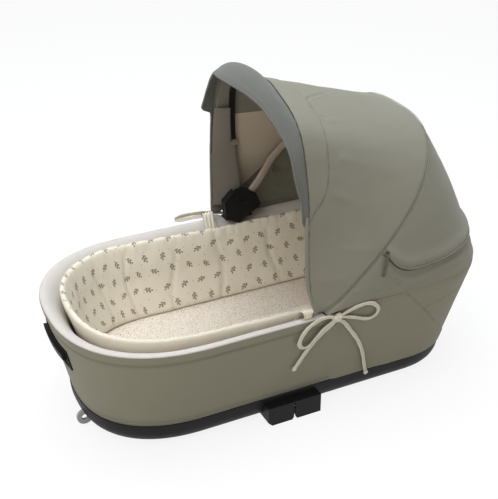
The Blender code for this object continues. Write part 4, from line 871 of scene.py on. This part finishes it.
def cutWindow(shape, values):
    def facesIn(halfWidth, low=-math.inf, high=math.inf):
        middles = [(face, face.calc_center_median()) for face in shape.faces]
        return [face for face, middle in middles
                if middle.x < values["reach"] and abs(middle.y) < halfWidth and low < middle.z < high]

    wide, low, high = values["halfWidth"], values["low"], values["high"]
    planes = [((0, across, 0), (0, 1, 0)) for across in (wide, -wide)]
    planes += [((0, 0, height), (0, 0, 1)) for height in (low, high)]
    for place, way in planes:
        faces = facesIn(values["beside"])
        edges = {edge for face in faces for edge in face.edges}
        verts = {vert for face in faces for vert in face.verts}
        bmesh.ops.bisect_plane(shape, geom=faces + list(edges) + list(verts), plane_co=place, plane_no=way)
    bmesh.ops.delete(shape, geom=facesIn(wide, low, high), context="FACES")


def buildCover(values):
    low, top = tubValues["low"], values["top"]

    def place(u, v):
        return wallPlace(u, low + (top - low) * v, values["depth"])

    def lift(u, v, co):
        return values["puff"] * arch(v) * (0.5 + ripple(co, 9, 9, 4)) + values["roll"] * bell(v - 0.012, 0.03)

    size = (girth, top - low)
    shape = sheetShape(values["around"], values["rows"], place, size, tubMiddle, lift, closed=True)
    cutWindow(shape, windowValues)
    # painted shade in a thin line along the cover's lower seam
    paintedSeamShade = [0.3 * bell(vert.co.z - low - values["seam"], 0.0012) for vert in shape.verts]
    piece = finishPiece("outer_cover_cloth", shape, sageCloth, node="outer_cover",
                        marks={"seam": paintedSeamShade}, thickness=values["thickness"])


hemValues = {"top": 0.2287, "bottom": 0.2087, "stitch": 0.0036, "wave": 0.00025}


def buildHem(values):
    top, bottom = values["top"], values["bottom"]
    section = [
        (bottom, 0.0034), (bottom, 0.0012), (bottom + 0.0014, 0.0), (bottom + 0.01, -0.0006),
        (top - 0.0028, -0.0004), (top - 0.0004, 0.0008), (top, 0.0022), (top, 0.0034),
        (bottom + 0.01, 0.0034),
    ]
    shape = ringOf(section, 300, 40, lift=lambda u, v, co: values["wave"] * ripple(co, 20, 20, 30))
    # painted shade in the groove along the hem's stitch line
    paintedSeamShade = [0.8 * bell(vert.co.z - bottom - values["stitch"], 0.0007) for vert in shape.verts]
    piece = finishPiece("hem_band_cloth", shape, sageCloth, node="hem_band",
                        marks={"seam": paintedSeamShade})
    line = [wallPlace(step / 400 % 1.0, bottom + values["stitch"], -0.0006) for step in range(401)]
    stitchRow("hem_stitching", line, piece, stitchThread, stitchValues)


rimValues = {
    "section": [
        (0.229, 0.0006), (0.2304, 0.0009), (0.2314, 0.003), (0.2318, 0.0065), (0.2312, 0.0115),
        (0.227, 0.018), (0.219, 0.0235), (0.205, 0.03), (0.19, 0.0342), (0.178, 0.0354),
        (0.16, 0.035), (0.11, 0.0262), (0.08, 0.019), (0.06, 0.0165),
    ],
    "puff": 0.0011, "thickness": 0.0016,
}


def buildRim(values):
    def lift(u, v, co):
        soft = ripple(co, 14, 14, 9) + 0.5 * ripple(co, 34, 34, 20)
        return values["puff"] * soft * smoothStep(0.05, 0.15, v)

    shape = ringOf(values["section"], 300, 60, closed=False)
    turnFaces(shape, lambda place: Vector((-place.x, -place.y, 0.4)))
    pushOut(shape, lift)
    piece = finishPiece("rim_padding", shape, paleCloth, node="rim_lining",
                        thickness=values["thickness"])


# Moulded tray: a smooth skin over the pan's outside
trayValues = {
    "drops": [
        (0.0521, 0.0), (0.04, 0.0005), (0.03, 0.002), (0.021, 0.006), (0.0135, 0.013), (0.008, 0.024),
        (0.0053, 0.0385),
    ],
    "proud": 0.0004, "skin": 0.0003, "softEdge": 0.0007,
    "softNodes": ("adapter_", "hub_cover", "hub_button", "release_", "floor_pad"),
}


def buildTray(values):
    section = [(height, depth - values["proud"]) for height, depth in values["drops"]]
    shape = ringOf(section, 300, 40, place=trayPlace, closed=False)
    finishPiece("tray_skin", shape, blackPlastic, thickness=values["skin"])


def softenEdges(values):
    for name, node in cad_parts.items():
        if name.startswith(values["softNodes"]):
            modifier = node.modifiers.new("soft_edges", "BEVEL")
            modifier.width = values["softEdge"]
            modifier.segments = 2
            modifier.limit_method = "ANGLE"


buildCover(coverValues)
buildHem(hemValues)
buildRim(rimValues)
buildTray(trayValues)
softenEdges(trayValues)
print("cover, hem, rim and tray made")

# Mattress and liner
mattressValues = {"inset": 0.072, "low": 0.06, "edge": 0.0867, "crown": 0.004, "wave": 0.001}


def buildMattress(values):
    low, edge, inset, crown = values["low"], values["edge"], values["inset"], values["crown"]
    section = [
        (low, inset + 0.008), (low + 0.002, inset + 0.0015), (low + 0.008, inset),
        (low + 0.014, inset + 0.001), (edge - 0.005, inset - 0.0004), (edge - 0.001, inset + 0.003),
        (edge, inset + 0.009), (edge + crown * 0.5, inset + 0.03), (edge + crown * 0.85, inset + 0.06),
        (edge + crown, inset + 0.1), (edge + crown, inset + 0.122),
    ]
    shape = ringOf(section, 240, 48, place=flatPlace, closed=False)
    fillEnds(shape)
    pushOut(shape, lambda u, v, co: values["wave"] * ripple(co, 16, 16, 6))
    piece = finishPiece("mattress_pad", shape, mattressCloth, node="mattress")


# The liner's section: share of its height, more height, and depth from the wall
linerValues = {
    "base": 0.0882, "foot": 0.042, "inner": 0.054, "top": 0.0365, "roll": 0.006,
    "footEnd": 0.2344, "headEnd": 0.2258, "highX": -0.25, "lowX": -0.03, "around": 460, "rows": 96,
    "pleats": [0.205, 0.262, 0.306, 0.352, 0.392, 0.436, 0.477, 0.54, 0.58, 0.64, 0.7],
    "printStart": 0.47, "printShift": 0.026, "printEdge": 0.01,
}


def buildLiner(values):
    roll, top, inner, rows = values["roll"], values["top"], values["inner"], values["rows"]
    middle = (top + 2 * roll + inner) / 2
    section = [
        (0.0, 0.0, values["foot"]), (0.5, 0.0, (values["foot"] + top) / 2 + 0.002), (1.0, -roll, top),
        (1.0, roll * 0.2, top + roll * 0.25), (1.0, roll * 0.65, top + roll),
        (1.0, roll * 0.2, top + roll * 1.75), (1.0, -roll, top + roll * 2),
        (0.75, -roll * 0.4, (top + 2 * roll + middle) / 2 + 0.0005), (0.5, 0.0, middle - 0.002),
        (0.25, 0.0, (middle + inner) / 2 - 0.001), (0.06, 0.0, inner + 0.001), (0.0, 0.0, inner - 0.004),
    ]
    line = smoothPath(section, 0.02, closed=True)
    ruler = [Vector((point.x * 0.142 + point.y, point.z, 0)) for point in line]
    steps = evenPath(line, rows + 1, ruler)

    def place(u, v):
        share, extra, depth = steps[min(round(v * rows), rows)]
        along = shareOf(flatPlace(u, 0.0, depth).x, values["highX"], values["lowX"])
        height = values["footEnd"] + (values["headEnd"] - values["footEnd"]) * along
        return wallPlace(u, values["base"] + (height - values["base"]) * share + extra, depth)

    def pleatsAt(u, v, width):
        return sum(bell((u - pleat) * girth - 0.01 * math.sin(v * 9 + pleat * 40), width)
                   for pleat in values["pleats"])

    def lift(u, v, co):
        along = u * girth
        inside = smoothStep(0.52, 0.6, v) * (1 - smoothStep(0.93, 0.99, v))
        folds = noiseAt(along * 22, v * 5, 3.0) * 0.0016 + noiseAt(along * 60, v * 9, 9.0) * 0.0006
        gather = 0.0009 * math.sin(along * 300 + 4 * noiseAt(along * 30, 0, 0)) * bell(v - 0.5, 0.045)
        gather += 0.0016 * noiseAt(along * 34, 7.0, 1.0) * bell(v - 0.49, 0.07)
        soft = 0.0004 * noiseAt(along * 40, v * 12, 0)
        return inside * (folds - 0.0022 * pleatsAt(u, v, 0.0045)) + gather + soft

    shape = gridShape(values["around"], rows, place, (girth, 0.31), closed=True)
    bmesh.ops.recalc_face_normals(shape, faces=shape.faces)
    pushOut(shape, lift)
    across, along = gridLayers(shape)
    printed, paintedSeamShade = [], []
    for vert in shape.verts:
        u, v = vert[across], vert[along]
        start = values["printStart"] + values["printShift"] * smoothStep(-0.04, 0.06, -vert.co.y)
        printed.append(smoothStep(start, start + values["printEdge"], v) * (1 - smoothStep(0.95, 0.99, v)))
        # painted shade along the sewn line and down the pleats, where the cloth folds in
        sewn = bell(v - 0.475, 0.004)
        paintedSeamShade.append(min(1.0, 0.45 * pleatsAt(u, v, 0.003) * smoothStep(0.56, 0.62, v) + sewn))
    piece = finishPiece("bumper_liner_padding", shape, linerPrint, node="bumper_liner",
                        marks={"printed": printed, "seam": paintedSeamShade})


buildMattress(mattressValues)
buildLiner(linerValues)
print("mattress and liner made")

# Canopy: the crescent seam behind the front edge, and creases at the crown and down the near side
crescentValues = {
    "line": [
        (0.04, 0.0, 0.5835), (0.0491, 0.0498, 0.5737), (0.0503, 0.0934, 0.5611), (0.0425, 0.1397, 0.542),
        (0.0369, 0.1666, 0.5134), (0.0335, 0.1774, 0.4884), (0.0259, 0.1866, 0.4602),
        (0.0123, 0.1933, 0.4388), (-0.0031, 0.1966, 0.4231), (-0.0105, 0.198, 0.405),
    ],
    "band": 0.0014, "bandLow": 0.415, "bandHigh": 0.455, "groove": 0.0007,
}
creaseValues = {
    "depth": 0.0019, "width": 0.0022,
    "lines": [
        [
            (0.0532, -0.0627, 0.5694), (0.062, -0.054, 0.569), (0.0727, -0.0468, 0.5676),
            (0.0898, -0.0379, 0.5649), (0.1054, -0.0279, 0.5627),
        ],
        [(0.052, -0.0731, 0.5667), (0.0492, -0.085, 0.564), (0.048, -0.0964, 0.5607)],
        [(0.056, -0.106, 0.554), (0.076, -0.112, 0.55), (0.098, -0.11, 0.548)],
        [(0.04, -0.19, 0.45), (0.07, -0.196, 0.43), (0.105, -0.2, 0.423)],
        [(0.05, -0.202, 0.35), (0.08, -0.208, 0.342), (0.108, -0.212, 0.34)],
        [(0.07, -0.17, 0.5), (0.1, -0.174, 0.49), (0.133, -0.176, 0.482)],
    ],
}
canopyClothValues = {
    "thickness": 0.0012, "liningGap": 0.002, "liningThickness": 0.0008,
    "facingX": 0.059, "facingZ": 0.3168, "facingSlope": 0.266, "ceilingZ": 0.468, "ceilingX": 0.1,
}
crescentLine = mirroredRoute(crescentValues["line"][::-1], 0.003)


def finishCloth(name, shape, material, trees, width, node, carrier, thickness):
    # the seam attribute holds painted shade along the given seam lines
    piece = finishPiece(name, shape, material, carrier, node,
                        {"seam": seamShadeValues(shape, trees, width)}, thickness)


def facingAt(place, values):
    # over zero before the front bow, where the lining is sage, and on the ceiling above ceilingZ ahead of
    # ceilingX, which takes the same sage
    bowX = values["facingX"] - values["facingSlope"] * (place.z - values["facingZ"])
    return max(bowX - place.x, min(place.z - values["ceilingZ"], values["ceilingX"] - place.x))


def buildFrontPanel(values):
    crescent = seamFinder(crescentLine)
    creases = seamFinder([point for line in creaseValues["lines"] for point in smoothPath(line, 0.002)])
    mid = seamFinder(seamLine)
    front = seamFinder(frontRoute)

    def lift(u, v, co):
        side = smoothStep(0.1, 0.22, u) * smoothStep(0.1, 0.22, 1 - u)
        waves = 0.0014 * ripple(co, 11, 7, 18) + 0.0006 * ripple(co, 22, 16, 60)
        behind = gapPast(crescent, co)
        shown = smoothStep(crescentValues["bandLow"], crescentValues["bandHigh"], co.z)
        band = crescentValues["band"] * shown * (1 - smoothStep(-0.0008, 0.0012, behind))
        groove = crescentValues["groove"] * bell(behind, 0.002)
        edges = 0.0014 * bell(gapTo(mid, co), 0.004) + 0.0004 * bell(gapTo(front, co), 0.003)
        gap = gapTo(creases, co)
        crease = creaseValues["depth"] * (bell(gap, creaseValues["width"]) - 0.6 * bell(gap - 0.005, 0.004))
        return waves * (0.5 + 0.5 * side) * arch(v) ** 0.5 + band - groove - edges - crease

    shape = sheetShape(260, 110, frontPlace, (1.12, 0.26), canopyMiddle, lift)
    # painted shade along the crescent seam, the mid seam and the front edge
    finishCloth("canopy_front_cloth", shape, sageCanopyPaintedSkylight, [crescent, mid, front], 0.0014, "canopy_front_panel",
                followFront, values["thickness"])
    shape = sheetShape(160, 50, lambda u, v: frontPlace(u, 0.02 + 0.965 * v), (1.12, 0.26), canopyMiddle,
                       lambda u, v, co: 0.0007 * ripple(co, 16, 12, 14) - values["liningGap"])
    facing = [facingAt(vert.co, values) for vert in shape.verts]
    lining = finishPiece("canopy_front_lining", shape, liningCloth, followFront,
                         marks={"facing": facing}, thickness=values["liningThickness"])


# Zip round the head, drawn level from the seam, and the roll of cloth that hides it
zipValues = {
    "low": 0.286, "high": 0.33, "startX": 0.128, "levelX": 0.211, "points": 81,
    "coil": 0.0014, "lift": 0.0006, "tape": 0.006, "tapeLift": 0.0003, "tapeThickness": 0.0005,
    "roll": 0.0024, "rollRise": 0.004, "rollLift": 0.0008,
}


def zipHeight(x):
    share = shareOf(x, zipValues["startX"], zipValues["levelX"])
    return zipValues["low"] + (zipValues["high"] - zipValues["low"]) * (1 - share) ** 3


def buildRearPanel(values):
    mid = seamFinder(seamLine)

    def lift(u, v, co):
        inner = arch(v)
        above = co.z - zipHeight(co.x)
        started = smoothStep(zipValues["startX"] - 0.004, zipValues["startX"] + 0.02, co.x)
        pouch = 0.005 * bell(above - 0.014, 0.012) - 0.0026 * bell(above + 0.003, 0.006)
        folds = 0.0023 * math.sin(above * 260 + 2.5 * noiseAt(co.x * 7, co.y * 7, 1.0))
        folds *= smoothStep(0.0, 0.012, -above)
        waves = 0.0022 * inner * ripple(co, 9, 9, 14) + 0.0006 * ripple(co, 26, 26, 60)
        return waves + started * (pouch + folds * inner) - 0.0012 * bell(gapTo(mid, co), 0.004)

    shape = sheetShape(260, 90, rearPlace, (1.15, 0.28), canopyMiddle, lift)
    # painted shade along the mid seam
    finishCloth("canopy_rear_cloth", shape, sageCanopyPaintedSkylight, [mid], 0.0014, "canopy_rear_panel",
                followRear, values["thickness"])


def buildPiping(name, path, radius, material, carrier, lift):
    line = evenPath(path, max(2, int(pathLength(path) / 0.006)))
    line = [point + (point - canopyMiddle).normalized() * lift for point in line]
    shape = tubeShape(line, 8, lambda turn, share: (radius, radius))
    finishPiece(name, shape, material, carrier)


# Visor: the far side is tucked in below its corner, and the near side tapers to its end
visorValues = {
    "gap": 0.0014, "rise": 0.024, "reach": 0.15, "thickness": 0.0022, "roll": 0.0022, "wave": 0.0012,
    "hem": 0.0007, "across": 220, "rows": 40, "tuck": 0.94,
    "cornerLow": 0.478, "cornerHigh": 0.488, "cornerReach": 0.0035, "nearLow": 0.394, "nearHigh": 0.41,
}


def buildVisor(values):
    low = canopyValues["visorEdge"][0][2] - 0.003
    start = [point for point in canopyValues["frontEdge"] if point[2] >= low]
    seam, edge = (evenPath(mirroredRoute(route), canopyValues["points"])
                  for route in (start, canopyValues["visorEdge"]))

    def place(u, v):
        a, b = alongPath(seam, u), alongPath(edge, u)
        start = a - Vector((values["gap"], 0, 0))
        end = a - Vector((0.001, 0, 0))
        if b.y > 0:
            tucked = 1 - smoothStep(values["cornerLow"], values["cornerHigh"], b.z)
            start.x += 2.2 * values["gap"] * tucked
            b = b.lerp(end, values["tuck"] * tucked)
            b.x -= values["cornerReach"] * bell(b.z - values["cornerHigh"], 0.016)
        else:
            b = b.lerp(end, values["tuck"] * (1 - smoothStep(values["nearLow"], values["nearHigh"], b.z)))
        spot = start.lerp(b, v)
        spot.z += values["rise"] * max(0.0, 1.0 - (spot.y / values["reach"]) ** 2) * arch(v)
        return spot

    def lift(u, v, co):
        return values["wave"] * ripple(co, 18, 12, 16) * arch(v) + values["hem"] * bell(v - 0.93, 0.05)

    shape = sheetShape(values["across"], values["rows"], place, (0.95, 0.1), canopyMiddle, lift)
    # painted shade along the visor's seam
    finishCloth("canopy_visor_cloth", shape, sageDark, [seamFinder(seam)], 0.0018, "canopy_visor",
                followFront, values["thickness"])
    rolled = [place(step / values["across"], 1.0) for step in range(values["across"] + 1)]
    buildPiping("visor_edge_roll", rolled, values["roll"], sageDark, followFront, -0.0008)


# Rolled strips that carry on from the visor down to the rim, for the near and the far side
stripValues = {"top": 0.44, "out": (0.0036, 0.001), "wide": 0.002, "wider": (0.002, 0.0008), "deep": 0.0017}


def buildEdgeStrips(values):
    for (side, word), out, wider in zip(bothSides, values["out"], values["wider"]):
        route = [(x - out * smoothStep(0.235, 0.3, z), side * (y - 0.0004), z)
                 for x, y, z in canopyValues["frontEdge"] if z < values["top"]]

        def size(turn, share):
            wide = values["wide"] + wider * smoothStep(0.0, 0.45, share)
            return wide * (0.4 + 0.6 * smoothStep(-0.02, 0.1, 1 - share)), values["deep"]

        shape = tubeShape(evenPath(smoothPath(route, 0.004), 60), 16, size, (0, side, 0))
        finishPiece("front_edge_strip_" + word, shape, sageCanopyPaintedSkylight, followFront)


skirtValues = {
    "startX": 0.04, "top": 0.243, "tuck": 0.2395, "low": 0.0534, "depth": -0.0025, "tuckDepth": 0.0014,
    "thickness": 0.0014, "laid": 0.0066, "lap": 0.0017, "headGroove": 0.0011, "wave": 0.0009,
    "panelSeam": [
        (0.1801, 0.2243, 0.2379), (0.2021, 0.2179, 0.2137), (0.2305, 0.21, 0.1843), (0.2637, 0.1978, 0.146),
        (0.318, 0.1613, 0.0863), (0.342, 0.142, 0.0534),
    ],
    "headSeam": [
        (0.2305, 0.21, 0.1843), (0.2492, 0.2112, 0.1908), (0.2728, 0.2094, 0.1943), (0.2999, 0.2033, 0.1969),
        (0.35, 0.176, 0.198), (0.39, 0.13, 0.1985), (0.415, 0.065, 0.199), (0.421, 0.0, 0.199),
    ],
}


def buildSkirt(values):
    reach = turnAtX(values["startX"])

    def place(u, v):
        height = values["top"] + (values["low"] - values["top"]) * v
        tuck = smoothStep(values["tuck"] - 0.012, values["top"], height)
        front = 1 - smoothStep(0.0, 0.03, min(u, 1 - u))
        laid = values["laid"] * front * (1 - smoothStep(0.194, 0.207, height))
        depth = values["depth"] + (values["tuckDepth"] - values["depth"]) * tuck + laid
        return wallPlace(reach * (2 * u - 1) % 1.0, height, depth)

    panels = [seamFinder(smoothPath([(x, side * y, z) for x, y, z in values["panelSeam"]], 0.003))
              for side in (-1, 1)]
    head = seamFinder(mirroredRoute(values["headSeam"], 0.003))

    def lift(u, v, co):
        soft = values["wave"] * ripple(co, 10, 10, 14) * arch(v)
        behind = gapPast(panels[0 if co.y < 0 else 1], co)
        lap = values["lap"] * (1 - smoothStep(-0.0006, 0.0012, behind)) * smoothStep(0.16, 0.18, co.x)
        return soft + lap - values["headGroove"] * bell(gapTo(head, co), 0.0022)

    shape = sheetShape(320, 60, place, (1.05, 0.19), (0.15, 0, 0.14), lift)
    # painted shade along the skirt's top edge, the head seam and the panel seams
    topEdge = [place(step / 200, 0.02) for step in range(201)]
    lower = seamFinder([point for point in topEdge if point.x < 0.185])
    finishCloth("canopy_skirt_cloth", shape, sageCloth, [lower, head] + panels, 0.0013, "canopy_skirt",
                "tub", values["thickness"])


def zipRoute(surface, rise):
    places, normals = [], []
    for point in headRoute(zipValues["low"], 0.0, zipValues["startX"], zipValues["points"]):
        goal = Vector((point.x, point.y, zipHeight(point.x) + rise))
        out = Vector((point.x - canopyMiddle.x, point.y - canopyMiddle.y, 0)).normalized()
        spot, normal, _, _ = surface.ray_cast(goal + out * 0.06, -out, 0.12)
        if spot is None:
            spot, normal, _, _ = surface.find_nearest(goal)
        places.append(spot)
        normals.append(facingOut(spot, normal))
    return places, normals


def liftedLine(places, normals, lift):
    return [place + normal * lift for place, normal in zip(places, normals)]


def buildZip(values):
    surface = surfaceOf(bpy.data.objects["canopy_rear_cloth"])
    places, normals = zipRoute(surface, 0.0)
    line = smoothPath(liftedLine(places, normals, values["lift"]), 0.004)
    shape = tubeShape(line, 8, lambda turn, share: (values["coil"], values["coil"] * 0.8))
    finishPiece("zip_coil_run", shape, zipCoil, followRear, "canopy_zip")

    def tapePlace(u, v):
        point, normal = alongPath(places, u), normals[round(u * (len(places) - 1))]
        ahead = (alongPath(places, u + 0.01) - alongPath(places, u - 0.01)).normalized()
        return point + normal * values["tapeLift"] + normal.cross(ahead) * values["tape"] * (v - 0.5)

    shape = sheetShape(160, 4, tapePlace, (1.0, values["tape"]), canopyMiddle)
    finishPiece("zip_tape_run", shape, zipTape, followRear, thickness=values["tapeThickness"])
    line = liftedLine(*zipRoute(surface, values["rollRise"]), values["rollLift"])[1:-1]

    def size(turn, share):
        ends = smoothStep(0.0, 0.03, share) * smoothStep(0.0, 0.03, 1 - share)
        return values["roll"] * (0.25 + 0.75 * ends), values["roll"] * (0.2 + 0.5 * ends)

    shape = tubeShape(evenPath(smoothPath(line, 0.004), 150), 12, size)
    finishPiece("zip_cover_roll", shape, sageCanopyPaintedSkylight, followRear)


pullerValues = {
    "line": [
        (0.1292, -0.228, 0.3322), (0.1283, -0.2296, 0.327), (0.1262, -0.2306, 0.317), (0.124, -0.2313, 0.307),
        (0.1222, -0.2318, 0.298), (0.1208, -0.232, 0.2905),
    ],
    "wide": 0.0031, "deep": 0.0009,
    "slider": (0.007, 0.0034, 0.0058), "sliderStep": (0.0012, 0.0022, 0.0006), "sliderTilt": 38,
    "rounding": 0.22,
}


def buildPuller(values):
    def size(turn, share):
        sewn = 1 + 0.35 * bell(share - 0.93, 0.06) - 0.35 * bell(share - 0.8, 0.03)
        sewn -= 0.25 * bell(share, 0.06)
        return values["wide"] * sewn, values["deep"] * (1 + 0.3 * math.cos(2 * turn)) * sewn

    shape = tubeShape(evenPath(smoothPath(values["line"], 0.001), 44), 14, size, (0, -1, 0))
    finishPiece("zip_puller_strap", shape, zipTape, "zip_puller_body", "zip_puller")
    place = Matrix.Translation(Vector(values["line"][0]) + Vector(values["sliderStep"]))
    turn = Matrix.Rotation(math.radians(values["sliderTilt"]), 4, "Y")
    shape = roundedBlock(values["slider"], values["rounding"], place @ turn)
    finishPiece("zip_slider", shape, darkMetal, followRear)


# Flap of cloth that the front edge folds back over the bow, and the press-stud tab above it
flapValues = {
    "low": 0.266, "high": 0.486, "steps": 24, "past": 0.003, "bare": 0.402, "short": 0.0105, "inside": 0.0016,
    "front": 0.001, "frontInset": 0.0035, "sag": 0.0022, "turnUp": 0.003, "stitch": 0.93, "thickness": 0.0009,
    "tab": (0.015, 0.0016, 0.012), "tabAt": (0.033, 0.1836, 0.4062), "tabTilt": 8, "rounding": 0.25,
}


def bowReach(height, side):
    # the bow's rear and inner limits at a height
    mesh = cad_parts["front_bow"].data
    xs, ys = [], []
    for edge in mesh.edges:
        a, b = (mesh.vertices[index].co for index in edge.vertices)
        if (a.z - height) * (b.z - height) < 0 and side * a.y > 0:
            spot = a.lerp(b, (height - a.z) / (b.z - a.z))
            xs.append(spot.x)
            ys.append(abs(spot.y))
    return Vector((max(xs), min(ys)))


def frontAt(height):
    edge = [Vector(point) for point in canopyValues["frontEdge"]]
    for a, b in zip(edge, edge[1:]):
        if a.z <= height <= b.z:
            return a.lerp(b, (height - a.z) / (b.z - a.z))
    return edge[-1]


def buildFlap(side, word, values):
    low, high, steps = values["low"], values["high"], values["steps"]
    rear = [bowReach(low + (high - low) * step / steps, side) for step in range(steps + 1)]

    def place(u, v):
        height = low + (high - low) * u
        x, y = alongPath(rear, u)
        bare = smoothStep(values["bare"] - 0.004, values["bare"] + 0.004, height)
        x += values["past"] - values["short"] * bare
        front = frontAt(height)
        start = Vector((front.x + values["front"], front.y - values["frontInset"], height))
        spot = start.lerp(Vector((x, y - values["inside"], height)), v)
        spot.y -= values["sag"] * math.sin(math.pi * v) * (1 + 0.4 * noise.noise(spot * 30))
        spot.y += values["turnUp"] * smoothStep(0.86, 1.0, v)
        return Vector((spot.x, side * spot.y, spot.z))

    shape = sheetShape(72, 36, place, (0.2, 0.05), (0.02, side * 0.5, 0.35))
    # painted shade along the flap's stitch line
    stitch = seamFinder([place(step / 60, values["stitch"]) for step in range(61)])
    paintedSeamShade = seamShadeValues(shape, [stitch], 0.001)
    # the flap takes the darker sage copy: painted shade
    finishPiece("bow_flap_" + word, shape, sagePaintedShade, "front_bow_body",
                marks={"seam": paintedSeamShade}, thickness=values["thickness"], offset=0.0)
    x, y, z = values["tabAt"]
    turn = Matrix.Rotation(math.radians(values["tabTilt"]), 4, "Y")
    shape = roundedBlock(values["tab"], values["rounding"], Matrix.Translation((x, side * y, z)) @ turn)
    finishPiece("bow_stud_tab_" + word, shape, sageCloth, "front_bow_body")


def buildSleeve():
    # the mid bow's sleeve: the bow's own shape, gathered along its length
    shape = bmesh.new()
    shape.from_mesh(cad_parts["mid_bow_sleeve"].data)
    bmesh.ops.remove_doubles(shape, verts=shape.verts, dist=0.00005)
    bmesh.ops.join_triangles(shape, faces=shape.faces, angle_face_threshold=0.2, angle_shape_threshold=0.6)
    bmesh.ops.subdivide_edges(shape, edges=shape.edges, cuts=2, use_grid_fill=True)
    shape.normal_update()
    for vert in shape.verts:
        vert.co += vert.normal * 0.0005 * noise.noise(vert.co * 90)
    finishPiece("mid_bow_sleeve_cloth", shape, beigeCloth, "mid_bow_body", "mid_bow_sleeve")


# Tabs that fold over the rim from the liner, as a section of heights and depths from the wall
tabValues = {
    "section": [
        (0.23, 0.006), (0.24, 0.009), (0.2425, 0.014), (0.239, 0.0205), (0.227, 0.0262), (0.213, 0.0312),
    ],
    "width": 0.024, "back": 0.003, "hump": 0.0045, "rise": 0.0022, "proud": 0.0016, "thickness": 0.0012,
}


def buildTab(side, word, values):
    low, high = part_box("liner_tab_" + word)  # the node's lowest and highest corners
    middleX = (low.x + high.x) / 2
    line = smoothPath([(height, depth, 0) for height, depth in values["section"]], 0.001)

    def place(u, v):
        point = alongPath(line, v)
        pinch = 1 - 0.35 * bell(v - 0.05, 0.25)
        x = middleX - values["back"] + (u - 0.5) * values["width"] * pinch
        fold = 0.0014 * math.sin(u * 19 + v * 3) + 0.0006 * math.sin(u * 43 + v * 5)
        height, depth = point.x + values["hump"] * bell(v - 0.4, 0.3), point.y - values["proud"] - fold
        share = (tubValues["rim"] - height) / (tubValues["rim"] - tubValues["low"])
        y = tubValues["width"] / 2 - tubValues["sideInset"] * share - depth
        return Vector((x, side * y, height + values["rise"] + 0.5 * fold))

    name = "liner_tab_" + word
    shape = sheetShape(40, 30, place, (values["width"], 0.052), (middleX, side * 0.4, 0.0))
    piece = finishPiece(name + "_cloth", shape, creamCloth, node=name,
                        thickness=values["thickness"])


# Two black domes on the far rim only, under the far ribbon loop: the dome's profile in shares of the radius
# and the depth
darkDomeValues = {
    "places": [(-0.0216, 0.224, 0.239), (-0.0075, 0.224, 0.237)], "radius": 0.0046, "depth": 0.0032,
    "sides": 20,
    "profile": [(0.0, 1.0), (0.45, 0.98), (0.8, 0.8), (0.97, 0.45), (1.0, 0.0), (0.92, -0.3125)],
}


def buildDarkDomes(values):
    for index, place in enumerate(values["places"]):
        shape = bmesh.new()
        verts = [shape.verts.new((values["radius"] * share, 0, values["depth"] * height))
                 for share, height in values["profile"]]
        edges = [shape.edges.new(pair) for pair in zip(verts, verts[1:])]
        bmesh.ops.spin(shape, geom=verts + edges, cent=(0, 0, 0), axis=(0, 0, 1), angle=math.tau,
                       steps=values["sides"], use_merge=True)
        bmesh.ops.remove_doubles(shape, verts=shape.verts, dist=0.00001)
        fillEnds(shape)
        bmesh.ops.translate(shape, vec=place, verts=shape.verts)
        finishPiece("rim_stud_%d" % (index + 1), shape, blackPlastic)


buildDarkDomes(darkDomeValues)
buildFrontPanel(canopyClothValues)
buildRearPanel(canopyClothValues)
buildPiping("mid_seam_piping", seamLine, 0.0006, sageCanopyPaintedSkylight, "mid_bow_body", 0.0002)
buildVisor(visorValues)
buildEdgeStrips(stripValues)
buildSkirt(skirtValues)
buildZip(zipValues)
buildPuller(pullerValues)
for side, word in bothSides:
    buildFlap(side, word, flapValues)
buildSleeve()
for side, word in bothSides:
    buildTab(side, word, tabValues)
print("canopy made")

# Floor and light
lightValues = {
    "world": 0.43, "floor": (0.92, 0.92, 0.92), "floorWhite": 0.86, "floorBounce": (0.68, 0.64, 0.56),
    "target": (0.0, 0.0, 0.25),
    "lamps": [
        ("key_softbox", (-1.9, -1.5, 2.6), 2.2, 42.0, (1.0, 0.97, 0.91)),
        ("fill_softbox", (2.2, -1.6, 1.8), 2.4, 1.0, (1.0, 0.98, 0.95)),
        ("top_softbox", (-0.1, 0.4, 3.0), 2.6, 86.0, (0.885, 0.95, 1.0)),
    ],
}


def seenDirectly(tree):
    # 1 for what the camera sees, also in gloss and through glass
    path = put(tree, "LightPath").outputs
    mirrored = maths(tree, "MAXIMUM", path["Is Glossy Ray"], path["Is Transmission Ray"])
    return maths(tree, "MAXIMUM", path["Is Camera Ray"], mirrored)


def setFloor(values):
    shape = bmesh.new()
    bmesh.ops.create_grid(shape, x_segments=2, y_segments=2, size=6.0)
    material, tree = startMaterial("studio_floor", values["floor"], 0.9)
    shader = tree.nodes["Principled BSDF"]
    seen = seenDirectly(tree)
    tree.links.new(mixed(tree, seen, values["floorBounce"], values["floor"]), shader.inputs["Base Color"])
    white = put(tree, "Emission", {"Color": (1, 1, 1, 1), "Strength": 1.0}).outputs[0]
    share = maths(tree, "MULTIPLY", seen, values["floorWhite"])
    mix = put(tree, "MixShader", {0: share, 1: shader.outputs[0], 2: white})
    tree.links.new(mix.outputs[0], tree.nodes["Material Output"].inputs["Surface"])
    makePiece("studio_floor", shape, material)


def setLight(values):
    world = bpy.data.worlds.new("studio")
    world.use_nodes = True
    tree = world.node_tree
    background = tree.nodes["Background"]
    strength = maths(tree, "MULTIPLY_ADD", seenDirectly(tree), 1.0 - values["world"], values["world"])
    background.inputs["Color"].default_value = (1, 1, 1, 1)
    tree.links.new(strength, background.inputs["Strength"])
    bpy.context.scene.world = world
    for name, place, size, power, tint in values["lamps"]:
        data = bpy.data.lights.new(name, "AREA")
        data.shape = "SQUARE"
        data.size = size
        data.energy = power
        data.color = tint
        aim(bpy.data.objects.new(name, data), place, values["target"])
    bpy.context.scene.view_settings.view_transform = "Standard"


setFloor(lightValues)
setLight(lightValues)
print("stage set")
